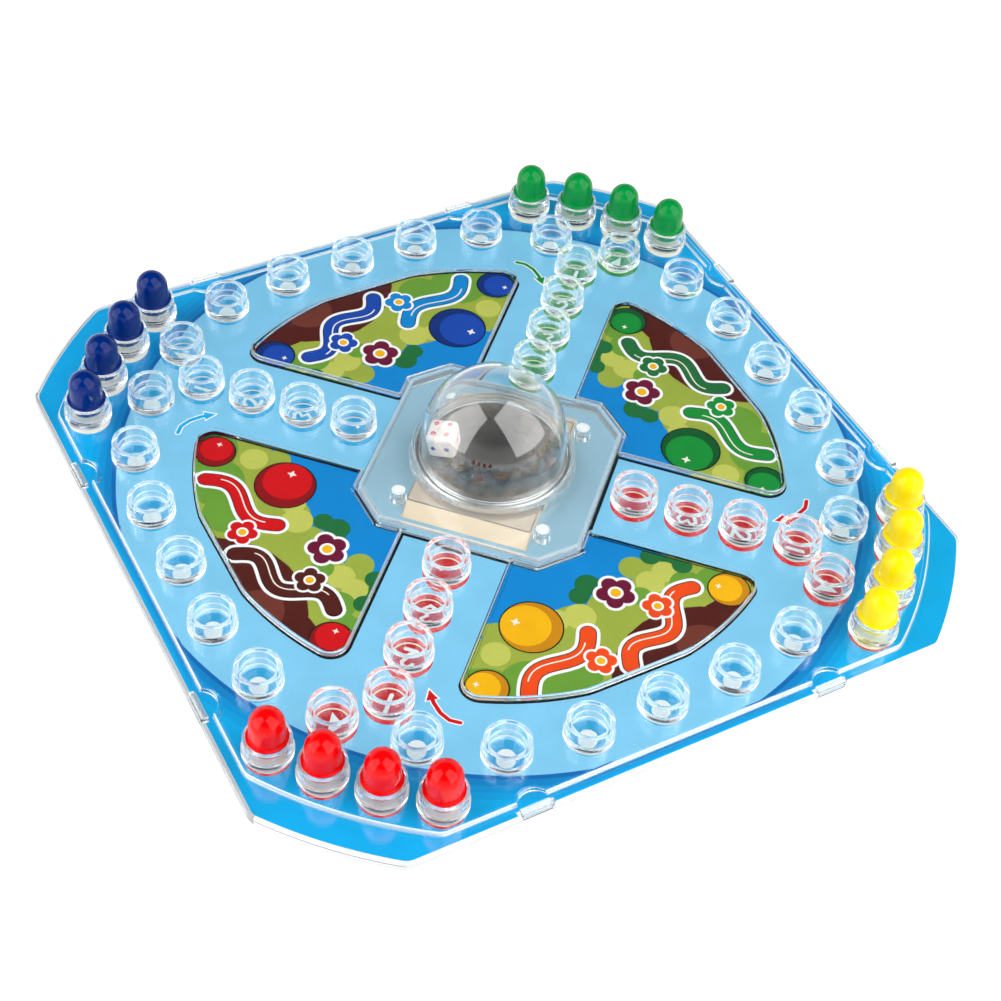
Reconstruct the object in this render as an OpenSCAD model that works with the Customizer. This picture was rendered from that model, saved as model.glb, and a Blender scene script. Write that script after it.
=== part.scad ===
// Press-dome flying chess board: a clear-topped case with a sprung dome in the middle that throws a die.
// Origin at the middle of the underside, +Z up. The four players sit on the diagonals:
// blue at -X +Y, green at +X +Y, yellow at +X -Y and red at -X -Y.

/* [Case] */
// Width of the case across its flat sides
case_w = 269.2; // [255:1:290]
// How far the round corners reach past the distance of the flat sides
corner_bulge = 32.2; // [29:0.5:36]
// Thickness of the tray's floor
floor_t = 1.5; // [1:0.1:2.5]
// Thickness of the tray's outer wall
tray_wall = 1.2; // [0.8:0.1:2]
// Thickness of the printed card
card_t = 1; // [0.4:0.1:1.6]
// Gap between the card's edge and the tray's wall
card_gap = 0.2; // [0.1:0.05:0.6]
// Height of the tray's wall above the card
wall_over_card = 0.1; // [0.1:0.1:0.8]

/* [Cover] */
// Wall thickness of the clear cover
cover_t = 1.4; // [1:0.1:1.8]
// Height of the cover's plateau above the card
plateau_rise = 3.2; // [2.8:0.1:4.5]
// Width of the low ledge round the plateau, on the flat sides
ledge_w = 4.4; // [4:0.1:5]
// Width of the low ledge round the plateau, at the corners
corner_ledge_w = 11.3; // [9:0.1:12.5]
// Height of the picture pads above the plateau
pad_rise = 1.3; // [0.6:0.1:2]
// Rounding of a picture pad's outer corners
pad_corner_r = 6.2; // [3:0.1:8]
// Clear space between the picture pads and the sockets outside them
pad_to_track = 4; // [2.5:0.1:6]
// Clear space between a picture pad and the home column beside it
pad_to_home = 11; // [9.5:0.1:12.5]
// Depth by which the middle of a pad's outer edge is flattened
pad_flat = 1.6; // [0.5:0.1:2.5]
// Gap between the dome housing and the cover's opening round it
opening_gap = 0.3; // [0.2:0.05:0.5]
// Width of the rim left between the opening's edge and a pad
pad_to_opening = 0.4; // [0.2:0.05:1]

/* [Snap hooks] */
// Distance of each hook from the middle of its side
hook_at = 54.7; // [45:0.5:65]
// Width of a hook
hook_w = 10.6; // [8:0.1:11.5]
// Length by which a hook's barb reaches over the ledge
hook_bite = 1.2; // [0.6:0.1:1.6]
// Height of a hook's barb
barb_h = 1; // [0.6:0.1:1.4]
// Clearance of a hook in its slot
hook_gap = 0.3; // [0.2:0.05:0.4]
// Radius of the half-round notch in the plateau behind a hook
notch_r = 6; // [5:0.1:7]
// Distance of the notch's centre outside the plateau's edge
notch_out = 2.8; // [2.2:0.1:3.4]

/* [Sockets] */
// Radius of a socket's bore
bore_r = 6.1; // [5.8:0.05:6.5]
// Wall thickness of a socket
socket_wall = 1.7; // [1.3:0.05:1.9]
// Height of a socket above the plateau
socket_h = 7.5; // [6.5:0.1:9]
// Floor thickness of a socket
socket_floor = 1; // [0.8:0.1:1.6]
// Width by which a socket's foot stands out past its wall
foot_out = 0.55; // [0.3:0.05:0.9]
// Height of a socket's foot
foot_h = 2.5; // [1.5:0.1:3.5]
// Bevel on a socket's rim and foot
rim_bevel = 0.3; // [0.1:0.05:0.45]

/* [Layout] */
// Distance of the straight part of the track from the case's side
track_inset = 17.5; // [15.5:0.1:19]
// Distance of the round part of the track's circle inside the case's side distance
track_arc_inset = 9.6; // [8.5:0.1:10.5]
// Spacing of the sockets on the straight part of the track
track_pitch = 27.3; // [24:0.1:28.5]
// Number of sockets on the whole track
track_count = 28; // [28]
// Radial distance from the last home socket to the track's circle
home_to_track = 14.3; // [13:0.1:16]
// Clear space between the dome housing and the first home socket
home_to_housing = 3.35; // [2:0.05:5]
// Sockets in each home column
home_count = 4; // [2:1:4]
// Distance of the start sockets' arc inside the round corner
start_inset = 22; // [21:0.05:24]
// Angle between neighbouring start sockets, seen from the middle
start_step = 7.56; // [7.2:0.02:8]

/* [Dome housing] */
// Distance of the housing's four long faces from the middle
housing_apothem = 40.4; // [39:0.1:43]
// Distance of the housing's cut corners from the middle
housing_cut = 48.75; // [46:0.05:52]
// Height of the housing's top above the card
housing_h = 5.2; // [4.6:0.1:7]
// Wall thickness of the housing
housing_t = 1.5; // [1:0.1:2]
// Height of the collar above the housing's top
collar_h = 5.6; // [5:0.1:7]
// Wall thickness of the collar
collar_t = 1.7; // [1.2:0.1:2.2]
// Thickness of the lip that holds the dome down
lip_t = 1.3; // [0.9:0.1:1.6]
// Amount by which the collar narrows towards its top
collar_taper = 0.9; // [0.3:0.1:1.2]
// Height of that narrowing part
taper_h = 2.5; // [1.5:0.1:3.5]
// Radius of a boss under the housing
boss_r = 3; // [2.4:0.1:3.4]
// Clear space between the collar and a boss
boss_to_collar = 4.4; // [3.5:0.1:6]
// Radius of the tray's pins
pin_r = 1.2; // [0.8:0.1:1.6]
// Clearance of a pin in its boss
pin_gap = 0.04; // [0.02:0.01:0.1]
// Clearance of a pin in the card
pin_card_gap = 0.4; // [0.2:0.05:0.8]
// Free space over a pin's end in its boss
pin_end_gap = 0.2; // [0.1:0.05:0.5]
// Skin over a boss's bore, under the housing's top face
boss_skin = 1.6; // [1.2:0.1:2]

/* [Dome and disc] */
// Outer radius of the dome
dome_r = 25.7; // [24:0.1:27]
// Wall thickness of the dome
dome_t = 1.2; // [1:0.1:1.8]
// Height of the dome's ball centre above its flange's underside
dome_straight = 8.8; // [7:0.1:11]
// Width by which the flange stands out past the dome
flange_out = 1.9; // [1.5:0.1:2.4]
// Thickness of the flange
flange_t = 1.2; // [1:0.1:1.5]
// Width of the foot that presses on the disc
foot_w = 1.4; // [1:0.1:1.8]
// Height of that foot below the dome's wall
foot_drop = 0.5; // [0.4:0.1:0.8]
// Clearance between the dome and its housing, all round
dome_gap = 0.3; // [0.2:0.05:0.4]
// Clearance over the flange, under the lip
flange_gap = 0.2; // [0.1:0.05:0.3]
// Gap between the disc's rim and the flange's edge, seen from above
disc_edge_gap = 0.4; // [0.2:0.05:0.7]
// Rise of the click disc at its middle
disc_rise = 3.2; // [2.6:0.1:3.8]
// Thickness of the click disc
disc_t = 0.4; // [0.3:0.05:0.6]
// Gap between faces that rest on each other in the mechanism
rest_gap = 0.05; // [0.02:0.01:0.1]

/* [Spring block] */
// Length of the block at its base
block_len = 66.8; // [62:0.2:72]
// Amount by which each end face leans in towards the top
block_lean = 2.9; // [0:0.1:4]
// Clear space between the block's sides and the bosses
block_to_boss = 0.7; // [0.4:0.05:1.5]
// Clear space between the block and the housing's top plate
block_to_top = 0.1; // [0.05:0.05:0.4]
// Clear space between the block and the card round it
block_to_card = 0.4; // [0.2:0.05:1]
// Outer radius of the ring that carries the disc
seat_r = 20; // [17:0.1:22]
// Wall thickness of that ring
seat_t = 3; // [2:0.1:4]

/* [Die] */
// Width of the die
die_w = 10.2; // [9.5:0.1:10.8]
// Radius of the ball that rounds the die's corners
die_round_r = 6.85; // [6.5:0.05:7.2]
// Distance of the die's resting point from the dome's inner wall
die_to_wall = 7.4; // [7.4:0.1:11]
// Direction of the die from the middle
die_dir = 155.5; // [0:0.5:359.5]
// Turn of the die about its own upright axis
die_turn = 164; // [0:1:359]
// Radius of the ball that sinks a pip
pip_r = 1.1; // [0.8:0.05:1.3]
// Depth of a pip
pip_depth = 0.35; // [0.2:0.05:0.6]
// Distance of the pips from the middle lines of a face
pip_at = 2.45; // [2:0.05:3]

/* [Pegs] */
// Radius of a peg's body
peg_r = 5.85; // [5:0.05:6]
// Height of a peg's round head centre above the socket's rim
peg_head_z = 6.55; // [4:0.05:9]
// Width of the socket's rim that a peg's flange rests on
peg_seat = 0.7; // [0.4:0.05:1]
// Thickness of a peg's flange
peg_flange_t = 0.8; // [0.6:0.1:1.5]
// Gap under the stem, above the socket's floor
peg_stem_up = 2.7; // [0.3:0.1:3.5]
// Radius of the stem inside the socket
peg_stem_r = 5.1; // [4:0.1:5.4]

/* [Hidden] */

$fn = 96;
over = 1;
clear = [0.82, 0.92, 0.97, 0.45];
players = ["blue", "green", "yellow", "red"];
player_angle = [135, 45, -45, -135];
player_colour = ["mediumblue", "green", "gold", "red"];
function side(player) = search([player], players)[0];

case_half = case_w / 2;
corner_r = case_half + corner_bulge;
card_top = floor_t + card_t;
tray_top = card_top + wall_over_card;
ledge_top = tray_top + cover_t;
plateau_top = card_top + plateau_rise;
plateau_half = case_half - ledge_w;
plateau_r = corner_r - corner_ledge_w;
pad_top = plateau_top + pad_rise;
rim_z = plateau_top + socket_h;
bore_z = plateau_top + socket_floor;
socket_r = bore_r + socket_wall;
foot_r = socket_r + foot_out;

track_flat = case_half - track_inset;
track_r = case_half - track_arc_inset;
track_step = 360 / track_count;
side_count = track_count / 4;
home_first = housing_apothem + home_to_housing + foot_r;
home_last = track_r - home_to_track;
home_pitch = (home_last - home_first) / (home_count - 1);
start_r = corner_r - start_inset;
start_count = 4;

opening_apothem = housing_apothem + opening_gap;
opening_cut = housing_cut + opening_gap;
pad_side = foot_r + pad_to_home;
pad_r = track_flat - foot_r - pad_to_track;
pad_in = pad_to_opening;

flange_r = dome_r + flange_out;
collar_bore = flange_r + dome_gap;
collar_r = collar_bore + collar_t;
lip_r = dome_r + dome_gap;
housing_top = card_top + housing_h;
collar_top = housing_top + collar_h;
flange_z = collar_top - lip_t - flange_gap - flange_t;
ball_z = flange_z + dome_straight;
boss_at = collar_r + boss_to_collar + boss_r;

foot_in_r = flange_r - foot_w;
disc_r = flange_r - disc_edge_gap;
disc_ball = (disc_r * disc_r + disc_rise * disc_rise) / (2 * disc_rise);
function disc_height(r) = sqrt(disc_ball * disc_ball - r * r) - (disc_ball - disc_rise);
disc_z = flange_z - rest_gap - disc_height(foot_in_r);
disc_ball_z = disc_z - (disc_ball - disc_rise);
disc_rings = 24;
corner_steps = 8;
edge_steps = 12;
case_facets = 180;

block_half_w = boss_at / sqrt(2) - boss_r - block_to_boss;
block_half_l = block_len / 2;
block_top = housing_top - housing_t - block_to_top;
seat_top = disc_z + disc_height(seat_r) - disc_t - rest_gap;

peg_flange_r = bore_r + peg_seat;
peg_z = bore_z + peg_stem_up;
pip_sink = die_w / 2 + pip_r - pip_depth;
die_out = dome_r - dome_t - die_to_wall;

// Points of an arc about c with radius r, from angle a to angle b
function arc(c, r, a, b, n) =
    [for (i = [0 : n]) let (t = a + (b - a) * i / n) c + r * [cos(t), sin(t)]];

// Square plate of the given half width whose corners are cut by a round of radius r
module round_cornered(half, r, z0, z1) {
    intersection() {
        translate([-half, -half, z0 - over]) cube([2 * half, 2 * half, z1 - z0 + 2 * over]);
        translate([0, 0, z0]) cylinder(r = r, h = z1 - z0, $fn = case_facets);
    }
}

// Square plate turned onto the diagonals, with its corners cut flat
module turned_square(apothem, cut, z0, z1) {
    intersection() {
        rotate(45) translate([-apothem, -apothem, z0]) cube([2 * apothem, 2 * apothem, z1 - z0]);
        translate([-cut, -cut, z0 - over]) cube([2 * cut, 2 * cut, z1 - z0 + 2 * over]);
    }
}

// Places its children at both hooks of every side, with the side's outward direction along +Y
module at_hooks() {
    for (turn = [0 : 90 : 270], x = [-hook_at, hook_at]) {
        rotate(turn) translate([x, 0, 0]) children();
    }
}

module at_bosses() {
    for (turn = [0 : 90 : 270]) rotate(turn) translate([boss_at, 0, 0]) children();
}

// One hook: a tongue that goes on from the tray's wall, with a barb that reaches in over the ledge
module hook() {
    reach = tray_wall + hook_gap + hook_bite;
    translate([-hook_w / 2, case_half - tray_wall, floor_t])
        cube([hook_w, tray_wall, ledge_top + rest_gap + barb_h - floor_t]);
    translate([-hook_w / 2, case_half - reach, ledge_top + rest_gap])
        cube([hook_w, reach, barb_h]);
}

module base_tray() {
    color(clear) {
        difference() {
            round_cornered(case_half, corner_r, 0, tray_top);
            round_cornered(case_half - tray_wall, corner_r - tray_wall, floor_t, tray_top + over);
        }
        at_hooks() hook();
        pin_top = housing_top - boss_skin - pin_end_gap;
        at_bosses() translate([0, 0, floor_t / 2]) cylinder(r = pin_r, h = pin_top - floor_t / 2);
    }
}

module game_card() {
    inset = tray_wall + card_gap;
    hole_l = block_half_l + block_to_card;
    hole_w = block_half_w + block_to_card;
    color("skyblue") difference() {
        round_cornered(case_half - inset, corner_r - inset, floor_t, card_top);
        rotate(45) translate([-hole_l, -hole_w, floor_t - over])
            cube([2 * hole_l, 2 * hole_w, card_t + 2 * over]);
        at_bosses() translate([0, 0, floor_t - over])
            cylinder(r = pin_r + pin_card_gap, h = card_t + 2 * over);
    }
}

// Outline of the picture pad on the -Y side, drawn in by the given amount
function pad_outline(in) =
    let (
        v = pad_side + in,
        u0 = opening_apothem + pad_in + in,
        y0 = opening_cut + pad_in + in,
        r = pad_r - in,
        rc = pad_corner_r - in,
        uc = sqrt(pow(r - rc, 2) - pow(v + rc, 2)),
        centre = [uc - v - rc, -uc - v - rc] / sqrt(2),
        lean = atan2(centre[1], centre[0]),
        flat = pad_r - pad_flat - in,
        corner = arc(centre, rc, 45, lean, corner_steps),
        edge = [for (p = arc([0, 0], r, lean, -90, edge_steps)) [p[0], max(p[1], -flat)]],
        inner = [[u0 * sqrt(2) - y0, -y0], [u0 - v, -u0 - v] / sqrt(2)],
        half = concat(inner, corner, [for (i = [1 : edge_steps]) edge[i]]),
        n = len(half)
    )
    concat(half, [for (i = [n - 2 : -1 : 0]) [-half[i][0], half[i][1]]]);

module pads(in, z0, z1) {
    for (turn = [0 : 90 : 270]) {
        rotate(turn) translate([0, 0, z0]) linear_extrude(z1 - z0) polygon(pad_outline(in));
    }
}

module top_cover() {
    slot_w = hook_w + 2 * hook_gap;
    slot_d = tray_wall + hook_gap;
    notch_y = plateau_half + notch_out;
    ceiling = plateau_top - cover_t;
    color(clear) difference() {
        union() {
            round_cornered(case_half, corner_r, tray_top, ledge_top);
            difference() {
                round_cornered(plateau_half, plateau_r, tray_top, plateau_top);
                at_hooks() translate([0, notch_y, ledge_top])
                    cylinder(r = notch_r, h = plateau_rise + over);
            }
            pads(0, plateau_top - cover_t / 2, pad_top);
        }
        difference() {
            round_cornered(plateau_half - cover_t, plateau_r - cover_t, tray_top - over, ceiling);
            at_hooks() translate([0, notch_y, tray_top - 2 * over])
                cylinder(r = notch_r + cover_t, h = plateau_rise + 3 * over);
        }
        pads(cover_t, ceiling - over / 2, pad_top - cover_t);
        turned_square(opening_apothem, opening_cut, tray_top - over, pad_top + over);
        at_hooks() translate([-slot_w / 2, case_half - slot_d, tray_top - over])
            cube([slot_w, slot_d + over, cover_t + 2 * over]);
    }
}

// One peg socket: a thin cup with a wider foot and bevelled edges
module socket() {
    b = rim_bevel;
    step = foot_h + foot_out;
    color(clear) translate([0, 0, plateau_top]) rotate_extrude() polygon([
        [0, 0], [foot_r - b, 0], [foot_r, b], [foot_r, foot_h], [socket_r, step],
        [socket_r, socket_h - b], [socket_r - b, socket_h], [bore_r + b, socket_h], [bore_r, socket_h - b],
        [bore_r, socket_floor], [0, socket_floor]
    ]);
}

// Place of socket k of a side, counted from the middle of the +Y side
function track_place(k) =
    abs(k) < 2 ? [k * track_pitch, track_flat] : track_r * [sin(k * track_step), cos(k * track_step)];

module track_sockets(turn) {
    reach = (side_count - 1) / 2;
    rotate(turn) for (k = [-reach : reach]) translate(track_place(k)) socket();
}

module home_sockets(player) {
    rotate(player_angle[side(player)]) for (i = [0 : home_count - 1]) {
        translate([home_first + i * home_pitch, 0, 0]) socket();
    }
}

// Puts its children at start place i of a player
module at_start(player, i) {
    rotate(player_angle[side(player)] + (i - (start_count + 1) / 2) * start_step)
        translate([start_r, 0, 0]) children();
}

module start_sockets(player) {
    for (i = [1 : start_count]) at_start(player, i) socket();
}

// Square box without a floor, with a collar and an inward lip in its top and four bosses under it
module dome_housing() {
    under = housing_top - housing_t;
    color(clear) difference() {
        union() {
            difference() {
                turned_square(housing_apothem, housing_cut, card_top, housing_top);
                turned_square(housing_apothem - housing_t, housing_cut - housing_t, card_top - over, under);
            }
            rotate_extrude() polygon([
                [collar_bore - over, under], [collar_r, under], [collar_r, collar_top - taper_h],
                [collar_r - collar_taper, collar_top], [collar_bore - over, collar_top]
            ]);
            at_bosses() translate([0, 0, card_top]) cylinder(r = boss_r, h = housing_h - housing_t / 2);
        }
        translate([0, 0, card_top - over])
            cylinder(r = collar_bore, h = collar_top - lip_t - card_top + over);
        translate([0, 0, card_top]) cylinder(r = lip_r, h = collar_top);
        at_bosses() translate([0, 0, card_top - over])
            cylinder(r = pin_r + pin_gap, h = housing_h - boss_skin + over);
    }
}

// Thin half ball on a short straight wall, with a flange at its foot
module dome() {
    wall_z = flange_z + foot_drop;
    color([0.85, 0.94, 0.98, 0.35]) difference() {
        union() {
            intersection() {
                translate([0, 0, ball_z]) sphere(r = dome_r);
                translate([-dome_r - over, -dome_r - over, ball_z]) cube(2 * (dome_r + over));
            }
            translate([0, 0, flange_z]) cylinder(r = dome_r, h = dome_straight);
            translate([0, 0, flange_z]) cylinder(r = flange_r, h = flange_t);
        }
        translate([0, 0, ball_z]) sphere(r = dome_r - dome_t);
        translate([0, 0, flange_z - over]) cylinder(r = dome_r - dome_t, h = dome_straight + over);
        translate([0, 0, flange_z - over]) cylinder(r = foot_in_r, h = wall_z - flange_z + over);
    }
}

// Sprung steel disc, a shallow ball cap
module click_disc() {
    top = [for (i = [0 : disc_rings]) let (r = disc_r * i / disc_rings) [r, disc_z + disc_height(r)]];
    below = [for (i = [disc_rings : -1 : 0]) top[i] - [0, disc_t]];
    color("lightslategray") rotate_extrude() polygon(concat(top, below));
}

// Block on the tray's floor, with the ring that carries the disc
module spring_block() {
    height = block_top - floor_t;
    top_l = block_half_l - block_lean;
    color("antiquewhite") {
        rotate(45) translate([0, block_half_w, floor_t]) rotate([90, 0, 0]) linear_extrude(2 * block_half_w)
            polygon([[-block_half_l, 0], [block_half_l, 0], [top_l, height], [-top_l, height]]);
        difference() {
            translate([0, 0, block_top - over]) cylinder(r = seat_r, h = seat_top - block_top + over);
            translate([0, 0, block_top]) cylinder(r = seat_r - seat_t, h = seat_top - block_top + over);
        }
    }
}

// Pips of one face, sunk into the face that looks along +Z
module pips(places) {
    for (p = places) translate([p[0] * pip_at, p[1] * pip_at, pip_sink]) sphere(r = pip_r, $fn = 32);
}

module die() {
    one = [[0, 0]];
    two = [[-1, 0], [1, 0]];
    three = [[-1, -1], [0, 0], [1, 1]];
    four = [[-1, -1], [-1, 1], [1, -1], [1, 1]];
    lean = asin(die_out / disc_ball);
    color("white") rotate(die_dir) translate([0, 0, disc_ball_z]) rotate([0, lean, 0])
        translate([0, 0, disc_ball + rest_gap + die_w / 2]) rotate(die_turn) difference() {
            intersection() {
                cube(die_w, center = true);
                sphere(r = die_round_r);
            }
            pips(four);
            rotate([90, 0, 0]) pips(two);
            rotate([-90, 0, 0]) pips(concat(four, one));
            rotate([0, 90, 0]) pips(one);
            rotate([0, -90, 0]) pips(concat(four, [[-1, 0], [1, 0]]));
            rotate([180, 0, 0]) pips(three);
        }
}

// One playing peg: a round-headed body, a flange that rests on the socket's rim and a stem inside it
module peg(player, i) {
    flange_z0 = rim_z + rest_gap;
    head_z = rim_z + peg_head_z;
    color(player_colour[side(player)]) at_start(player, i) {
        translate([0, 0, peg_z]) cylinder(r = peg_stem_r, h = flange_z0 - peg_z);
        translate([0, 0, flange_z0]) cylinder(r = peg_flange_r, h = peg_flange_t);
        translate([0, 0, flange_z0]) cylinder(r = peg_r, h = head_z - flange_z0);
        translate([0, 0, head_z]) sphere(r = peg_r);
    }
}

base_tray();
game_card();
top_cover();
track_sockets(0);  // track_sockets_1
track_sockets(-90);  // track_sockets_2
track_sockets(180);  // track_sockets_3
track_sockets(90);  // track_sockets_4
home_sockets("blue");  // home_sockets_blue
home_sockets("green");  // home_sockets_green
home_sockets("yellow");  // home_sockets_yellow
home_sockets("red");  // home_sockets_red
start_sockets("blue");  // start_sockets_blue
start_sockets("green");  // start_sockets_green
start_sockets("yellow");  // start_sockets_yellow
start_sockets("red");  // start_sockets_red
dome_housing();
dome();
click_disc();
spring_block();
die();
peg("blue", 1);  // blue_peg_1
peg("blue", 2);  // blue_peg_2
peg("blue", 3);  // blue_peg_3
peg("blue", 4);  // blue_peg_4
peg("green", 1);  // green_peg_1
peg("green", 2);  // green_peg_2
peg("green", 3);  // green_peg_3
peg("green", 4);  // green_peg_4
peg("yellow", 1);  // yellow_peg_1
peg("yellow", 2);  // yellow_peg_2
peg("yellow", 3);  // yellow_peg_3
peg("yellow", 4);  // yellow_peg_4
peg("red", 1);  // red_peg_1
peg("red", 2);  // red_peg_2
peg("red", 3);  // red_peg_3
peg("red", 4);  // red_peg_4
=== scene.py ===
# %% [markdown]
# # A press-dome board game in clear plastic
#
# The board is a flat case with a printed card inside and a clear cover on top. Sixty clear cups stand on
# the cover, sixteen coloured pegs sit in the corner cups, and a clear dome in the middle throws a die.
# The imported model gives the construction. This script gives it its finish: rounded clear mouldings,
# the print on the card, polished steel under the die and glossy pegs.

# %% Load the frame
import bpy
import bmesh
import numpy as np
from math import radians, degrees, sqrt, atan2, cos, sin, pi
from mathutils import Matrix, Vector
from mathutils.geometry import delaunay_2d_cdt


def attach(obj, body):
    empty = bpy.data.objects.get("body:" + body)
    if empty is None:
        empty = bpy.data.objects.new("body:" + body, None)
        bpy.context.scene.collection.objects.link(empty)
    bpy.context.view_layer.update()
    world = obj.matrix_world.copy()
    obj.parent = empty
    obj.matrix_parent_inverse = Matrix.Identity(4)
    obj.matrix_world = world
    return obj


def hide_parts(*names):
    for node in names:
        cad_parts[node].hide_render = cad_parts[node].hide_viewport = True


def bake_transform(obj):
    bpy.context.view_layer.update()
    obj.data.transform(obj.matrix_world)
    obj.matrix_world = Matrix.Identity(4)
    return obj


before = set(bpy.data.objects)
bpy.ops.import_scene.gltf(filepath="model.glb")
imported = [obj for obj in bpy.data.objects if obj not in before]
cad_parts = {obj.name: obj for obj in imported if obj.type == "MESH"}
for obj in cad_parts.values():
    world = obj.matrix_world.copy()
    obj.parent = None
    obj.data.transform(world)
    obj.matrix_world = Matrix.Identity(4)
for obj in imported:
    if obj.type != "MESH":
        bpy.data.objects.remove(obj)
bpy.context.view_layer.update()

# %% [markdown]
# The camera stands a little over half a metre from the board and looks down on it from one corner. Its place
# is given as an orbit round a point on the board: a turn, a height angle, a distance and a small roll.
# A long lens keeps the far edge nearly as wide as the near one.

# %% Camera
MM = 0.001
LOOK_AT = np.array([-9.66, -23.45, 13.2]) * MM
CAMERA_TURN = radians(-32.139)
CAMERA_RISE = radians(47.339)
CAMERA_ROLL = radians(5.692)
CAMERA_DISTANCE = 657.6 * MM
LENS_MM, SENSOR_MM = 68.95, 36.0
NEAREST_SEEN = 10 * MM

back = np.array([sin(CAMERA_TURN) * cos(CAMERA_RISE), -cos(CAMERA_TURN) * cos(CAMERA_RISE), sin(CAMERA_RISE)])
right = np.array([cos(CAMERA_TURN), sin(CAMERA_TURN), 0.0])
up = np.cross(back, right)
across = right * cos(CAMERA_ROLL) + up * sin(CAMERA_ROLL)
upward = up * cos(CAMERA_ROLL) - right * sin(CAMERA_ROLL)
camera_place = LOOK_AT + back * CAMERA_DISTANCE


def standing(x, y, z, place):
    """The matrix of a thing that stands at place with its own axes along x, y and z."""
    return Matrix([[x[i], y[i], z[i], place[i]] for i in range(3)] + [[0, 0, 0, 1]])


camera_data = bpy.data.cameras.new("camera")
camera_data.lens = LENS_MM
camera_data.sensor_width = SENSOR_MM
camera_data.sensor_fit = "HORIZONTAL"
camera_data.clip_start = NEAREST_SEEN
camera = bpy.data.objects.new("camera", camera_data)
camera.matrix_world = standing(across, upward, back, camera_place)
bpy.context.scene.collection.objects.link(camera)
bpy.context.scene.camera = camera
print("camera at", [round(float(v), 4) for v in camera_place])

# %% [markdown]
# Materials are small node trees. One helper adds a node with its settings and links, and one turns a hex
# colour, which is written in sRGB, into the linear numbers that a shader takes.


# %% Node helpers
def linear(hex_colour, alpha=1.0):
    """Each sRGB channel c becomes c / 12.92 below 0.04045 and ((c + 0.055) / 1.055) ^ 2.4 above it."""
    c = np.array([int(hex_colour[i:i + 2], 16) for i in (0, 2, 4)]) / 255
    c = np.where(c <= 0.04045, c / 12.92, ((c + 0.055) / 1.055) ** 2.4)
    return (*c.tolist(), alpha)


def add(tree, kind, inputs=None, **settings):
    """Adds one node. inputs feeds its sockets, each with another node's output or with a value, and settings
    names its properties and those sockets that hold a plain value."""
    node = tree.nodes.new("ShaderNode" + kind)
    for name, value in settings.items():
        title = name.replace("_", " ")
        if title in node.inputs:
            node.inputs[title].default_value = value
        else:
            setattr(node, name, value)
    for target, source in (inputs or {}).items():
        if isinstance(source, bpy.types.NodeSocket):
            tree.links.new(source, node.inputs[target])
        else:
            node.inputs[target].default_value = source
    return node


def new_material(name):
    """An empty material with its node tree and output node."""
    material = bpy.data.materials.new(name)
    material.use_nodes = True
    tree = material.node_tree
    tree.nodes.clear()
    return material, tree, tree.nodes.new("ShaderNodeOutputMaterial")


print("white is", linear("FFFFFF"))

# %% [markdown]
# The board stands in a light tent: two tall softboxes, left and right of the camera, lean in over it and
# nearly meet overhead. Their shapes show on the dome and on every peg. Their corners are given as
# directions in the camera's own frame (right, up, towards the camera), as read from a ball that mirrors
# them. Each softbox is an area lamp through its four corners, and mirrored or bent rays don't see it.

# %% Softboxes
LAMP_DISTANCE = 1.0
LAMP_RADIANCE = 2.3
CAMERA_AXES = np.array([across, upward, back])
SOFTBOXES = {
    "softbox_right": [(-0.03, 0.40, 0.92), (0.33, 0.79, 0.52), (1.00, 0.02, 0.05), (0.53, -0.59, 0.61)],
    "softbox_left": [(-0.38, 0.74, 0.55), (-0.18, 0.38, 0.91), (-0.70, -0.48, 0.52), (-0.98, 0.05, -0.15)],
}


def area_lamp(name, corners):
    """A rectangle through four directions at LAMP_DISTANCE. Its power is radiance times pi times area."""
    p = np.array([np.array(c) / np.linalg.norm(c) @ CAMERA_AXES for c in corners]) * LAMP_DISTANCE
    middle = p.mean(0)
    long_side = (p[0] + p[1] - p[2] - p[3]) / 2
    inward = -middle / np.linalg.norm(middle)
    long_side -= inward * (long_side @ inward)
    height = np.linalg.norm(long_side)
    width = (np.linalg.norm(p[1] - p[0]) + np.linalg.norm(p[2] - p[3])) / 2
    y = long_side / height
    data = bpy.data.lights.new(name, "AREA")
    data.shape, data.size, data.size_y = "RECTANGLE", width, height
    data.energy = LAMP_RADIANCE * pi * width * height
    lamp = bpy.data.objects.new(name, data)
    lamp.visible_glossy = lamp.visible_transmission = False
    lamp.matrix_world = standing(np.cross(y, -inward), y, -inward, middle)
    bpy.context.scene.collection.objects.link(lamp)
    print(name, "is", round(width, 2), "by", round(height, 2), "m")


for name, corners in SOFTBOXES.items():
    area_lamp(name, corners)

# %% [markdown]
# The room is a world shader that shows each kind of ray its own picture. The camera sees plain white.
# A mirrored ray sees white paper low down and dark above it, so that the flat cover mirrors nothing and the
# print below it keeps its full colour. A bent ray may have been mirrored under the cover, so it sees a dark
# gap round the direction in which flat sheets mirror the camera's view. Both see the softboxes painted in
# once more, because a softbox looks brighter than it lights.

# %% Room
FILL = 0.30
LAMP_SHINE, LAMP_THROUGH = 2.4, 3.6
LAMP_SOFT_EDGE = 0.02
DARK = 0.03
PAPER_UP_TO, DARK_FROM = 0.30, 0.55
GAP_ROUND, GAP_MIDDLE = radians(34), radians(22)
PURE_WHITE = (1, 1, 1, 1)


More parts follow.
